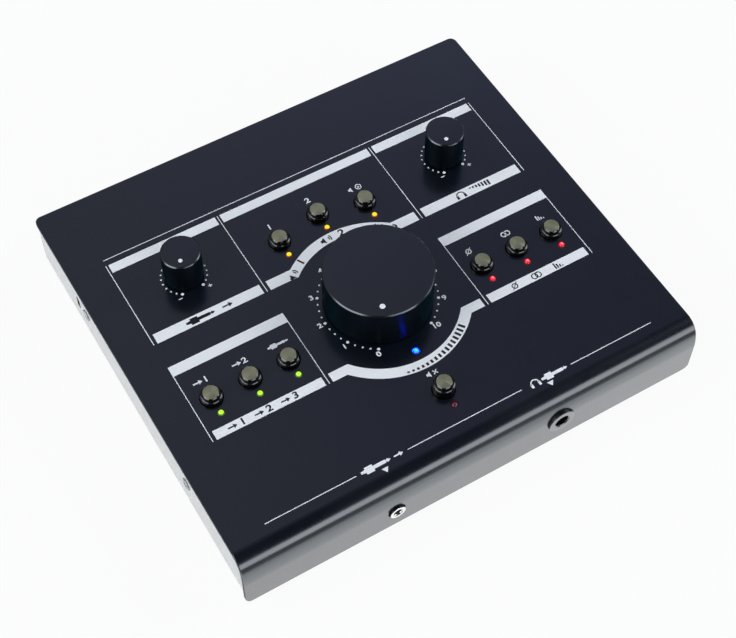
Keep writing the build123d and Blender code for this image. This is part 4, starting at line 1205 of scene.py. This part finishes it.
SKY_STOPS = (
    # elevation, radiance
    (-90, 0.75), (-3, 0.75), (3, 0.22), (12, 0.12), (34, 0.05), (42, 0.02), (90, 0.02),
)
SOFTBOXES = (
    # azimuth from the front to the right, elevation, softness, radiance
    ((-12.0, 34.0), (4.0, 31.0), 3.0, 3.8),
    ((-106.0, -54.0), (10.0, 40.0), 4.0, 4.0),
    ((-142.0, -104.0), (25.0, 62.0), 8.0, 2.4),
    ((60.0, 88.0), (10.0, 36.0), 8.0, 1.5),
    ((62.0, 96.0), (18.0, 50.0), 6.0, 4.0),
)
SKY_GLOWS = (
    # direction, cosines of the angles from it where a glow starts and is full, radiance
    ((0.42, 0.72, 0.55), 0.93, 1.0, 0.30),
    ((-0.25, 0.45, 0.85), 0.80, 0.97, 0.17),
    ((0.281, 0.492, 0.824), 0.90, 0.985, 0.155),
)
CEILING_RISE = (0.50, 0.66)   # Z of the directions over which the ceiling's tint sets in
CEILING_SPAN = (0.03, 0.58, 0.07)  # X of its directions from the left to the right, and its softness
CEILING_TURN = (0.1, 0.5)     # X over which the left part's tint becomes the right part's
TINTS = (
    # channel, its share of the light low down, in the ceiling's left part and in its right part
    ("X", 0.96, 0.96, 0.82), ("Y", 1.0, 1.0, 0.95), ("Z", 1.08, 1.33, 1.55),
)
HORIZON_BAND = (-2.0, 1.0)    # elevations over which glossy surfaces stop seeing the white surroundings
HORIZON_SHARE = 0.15


def light_world():
    """Studio light: a dark ceiling, a paler horizon and large softboxes."""
    world = bpy.data.worlds.new("studio")
    bpy.context.scene.world = world
    world.use_nodes = True
    tree = world.node_tree
    tree.nodes.clear()
    direction = add_node(tree, "ShaderNodeTexCoord").outputs["Generated"]
    axes = axes_of(tree, direction)
    azimuth = maths(tree, "ARCTAN2", axes["X"], maths(tree, "MULTIPLY", axes["Y"], -1.0))
    elevation = maths(tree, "ARCSINE", axes["Z"])
    ramp = add_node(tree, "ShaderNodeValToRGB", {
        "Fac": spread(tree, elevation, 0.0, 1.0, -math.pi / 2, math.pi / 2)})
    set_stops(ramp, [((degrees + 90) / 180, [value] * 3) for degrees, value in SKY_STOPS])
    total = add_node(tree, "ShaderNodeRGBToBW", {"Color": ramp.outputs["Color"]}).outputs["Val"]
    for span, rise, soft, strength in SOFTBOXES:
        across = smooth_window(tree, azimuth, *(math.radians(angle) for angle in (*span, soft)))
        upright = smooth_window(tree, elevation, *(math.radians(angle) for angle in (*rise, soft)))
        box = maths(tree, "MULTIPLY", maths(tree, "MULTIPLY", across, upright), strength)
        total = maths(tree, "ADD", total, box)
    for centre, outer, inner, strength in SKY_GLOWS:
        near = add_node(tree, "ShaderNodeVectorMath", {0: direction, 1: Vector(centre).normalized()},
                        operation="DOT_PRODUCT").outputs["Value"]
        glow = spread(tree, near, 0.0, 1.0, outer, inner, interpolation_type="SMOOTHSTEP")
        total = maths(tree, "ADD", total, maths(tree, "MULTIPLY", glow, strength))
    ceiling = maths(tree, "MULTIPLY", spread(tree, axes["Z"], 0.0, 1.0, *CEILING_RISE),
                    smooth_window(tree, axes["X"], *CEILING_SPAN))
    channels = {}
    for channel, low, left, right in TINTS:
        overhead = spread(tree, axes["X"], left, right, *CEILING_TURN)
        share = spread(tree, ceiling, low, overhead, 0.0, 1.0)
        channels[channel] = maths(tree, "MULTIPLY", total, share)
    tint = add_node(tree, "ShaderNodeCombineXYZ", channels)
    studio = add_node(tree, "ShaderNodeBackground", {"Color": tint.outputs[0], "Strength": 1.0})
    white = add_node(tree, "ShaderNodeBackground", {"Color": (1, 1, 1, 1), "Strength": 1.0})
    by_camera, by_mirror = ray_kinds(tree)
    band = [math.radians(degrees) for degrees in HORIZON_BAND]
    mirrored = maths(tree, "MULTIPLY", by_mirror, spread(tree, elevation, HORIZON_SHARE, 0.0, *band))
    share = maths(tree, "MINIMUM", maths(tree, "ADD", by_camera, mirrored), 1.0)
    mix = add_node(tree, "ShaderNodeMixShader", {0: share, 1: studio.outputs[0], 2: white.outputs[0]})
    add_node(tree, "ShaderNodeOutputWorld", {"Surface": mix.outputs[0]})


FLOOR_RADIUS = 3.5
FLOOR_DROP = 0.0001           # the floor lies this far below the object's lowest point
FLOOR_REACH = 0.5             # the floor's painted light and shade, seen only in glossy surfaces, changes over this distance from the object
FLOOR_WHITE = 0.92            # how much of the plain floor is white to the eye, without a shadow
FLOOR_MIRRORED_PAINTED_LIGHT = (
    # share of FLOOR_REACH, painted brightness of the floor as glossy surfaces see it (darker next to the
    # object, brightest a little way out, fading far off), coolness
    (0.0, 0.72, 0.55), (0.02, 0.73, 0.6), (0.035, 0.82, 0.8), (0.05, 0.97, 0.9), (0.07, 0.85, 1.0),
    (0.09, 0.52, 1.0), (0.11, 0.36, 1.0), (0.16, 0.26, 1.0), (0.3, 0.17, 1.0), (0.99, 0.08, 1.0),
)


def lay_floor():
    """Plain pale floor: near white to the eye, with a trace of the object's shadow. In glossy surfaces it
    shows painted light and shade.
    """
    bm = bmesh.new()
    bmesh.ops.create_circle(bm, cap_ends=True, radius=FLOOR_RADIUS, segments=96)
    finish = bpy.data.materials.new("floor_white")
    floor = object_from("floor", bm, [finish])
    floor.data.transform(Matrix.Translation((0, 0, -FLOOR_DROP)))
    finish.use_nodes = True
    tree = finish.node_tree
    tree.nodes.clear()
    axes = axes_of(tree, object_place(tree))
    beyond = [maths(tree, "SUBTRACT", maths(tree, "ABSOLUTE", axes[name]), edge)
              for name, edge in zip("XY", cad_box[1])]
    away = maths(tree, "MAXIMUM", *beyond)
    # Painted light and shade on the floor, seen only by glossy rays, set by the distance from the object.
    painted_floor_light = add_node(tree, "ShaderNodeValToRGB", {
        "Fac": spread(tree, away, 0.0, 1.0, 0.0, FLOOR_REACH)})
    set_stops(painted_floor_light, [
        (share, ((1 - 0.11 * cool) * value, 0.96 * value, (0.95 + 0.06 * cool) * value))
        for share, value, cool in FLOOR_MIRRORED_PAINTED_LIGHT])
    plain = add_node(tree, "ShaderNodeBsdfDiffuse", {"Color": (0.86, 0.87, 0.88, 1)})
    seen = add_node(tree, "ShaderNodeEmission", {"Color": (1, 1, 1, 1), "Strength": 1.0})
    mirrored = add_node(tree, "ShaderNodeEmission", {"Color": painted_floor_light.outputs["Color"], "Strength": 1.8})
    by_camera, by_mirror = ray_kinds(tree)
    first = add_node(tree, "ShaderNodeMixShader", {
        0: maths(tree, "MINIMUM", by_mirror, 1.0), 1: plain.outputs[0], 2: mirrored.outputs[0]})
    second = add_node(tree, "ShaderNodeMixShader", {
        0: maths(tree, "MULTIPLY", by_camera, FLOOR_WHITE), 1: first.outputs[0], 2: seen.outputs[0]})
    add_node(tree, "ShaderNodeOutputMaterial", {"Surface": second.outputs[0]})


CAMERA_PLACE = (-0.19416, -0.32840, 0.56934)
CAMERA_FORWARD = (0.28868713, 0.47202137, -0.83297993)
CAMERA_UP = (0.42088982, 0.7188782, 0.55323223)
CAMERA_LENS = 75.57           # millimetres, on a sensor 36 wide


def place_camera():
    """Three-quarter view from the front left, looking down."""
    forward = Vector(CAMERA_FORWARD)
    up = Vector(CAMERA_UP)
    data = bpy.data.cameras.new("camera")
    data.sensor_width = 36.0
    data.lens = CAMERA_LENS
    data.clip_start = 0.01
    camera = new_object("camera", data)
    turn = Matrix((forward.cross(up), up, -forward)).transposed().to_4x4()
    camera.matrix_world = Matrix.Translation(CAMERA_PLACE) @ turn
    bpy.context.scene.camera = camera


finish_hidden_nodes()
dress_case()
dress_panel_print()
dress_dial_dots()
for knob, recess, dot_across, dot_radius in (
    ("master", 8.58, 18.4, 1.2), ("aux", 6.27, 4.75, 0.9), ("phones", 6.27, 4.75, 0.9),
):
    dress_knob(knob, recess, dot_across, dot_radius)
for button in BUTTONS:
    dress_button(button)
dress_all_lamps()
dress_front_sockets()
dress_rear()
dress_fasteners()
light_world()
lay_floor()
place_camera()
bpy.context.scene.view_settings.view_transform = "Standard"
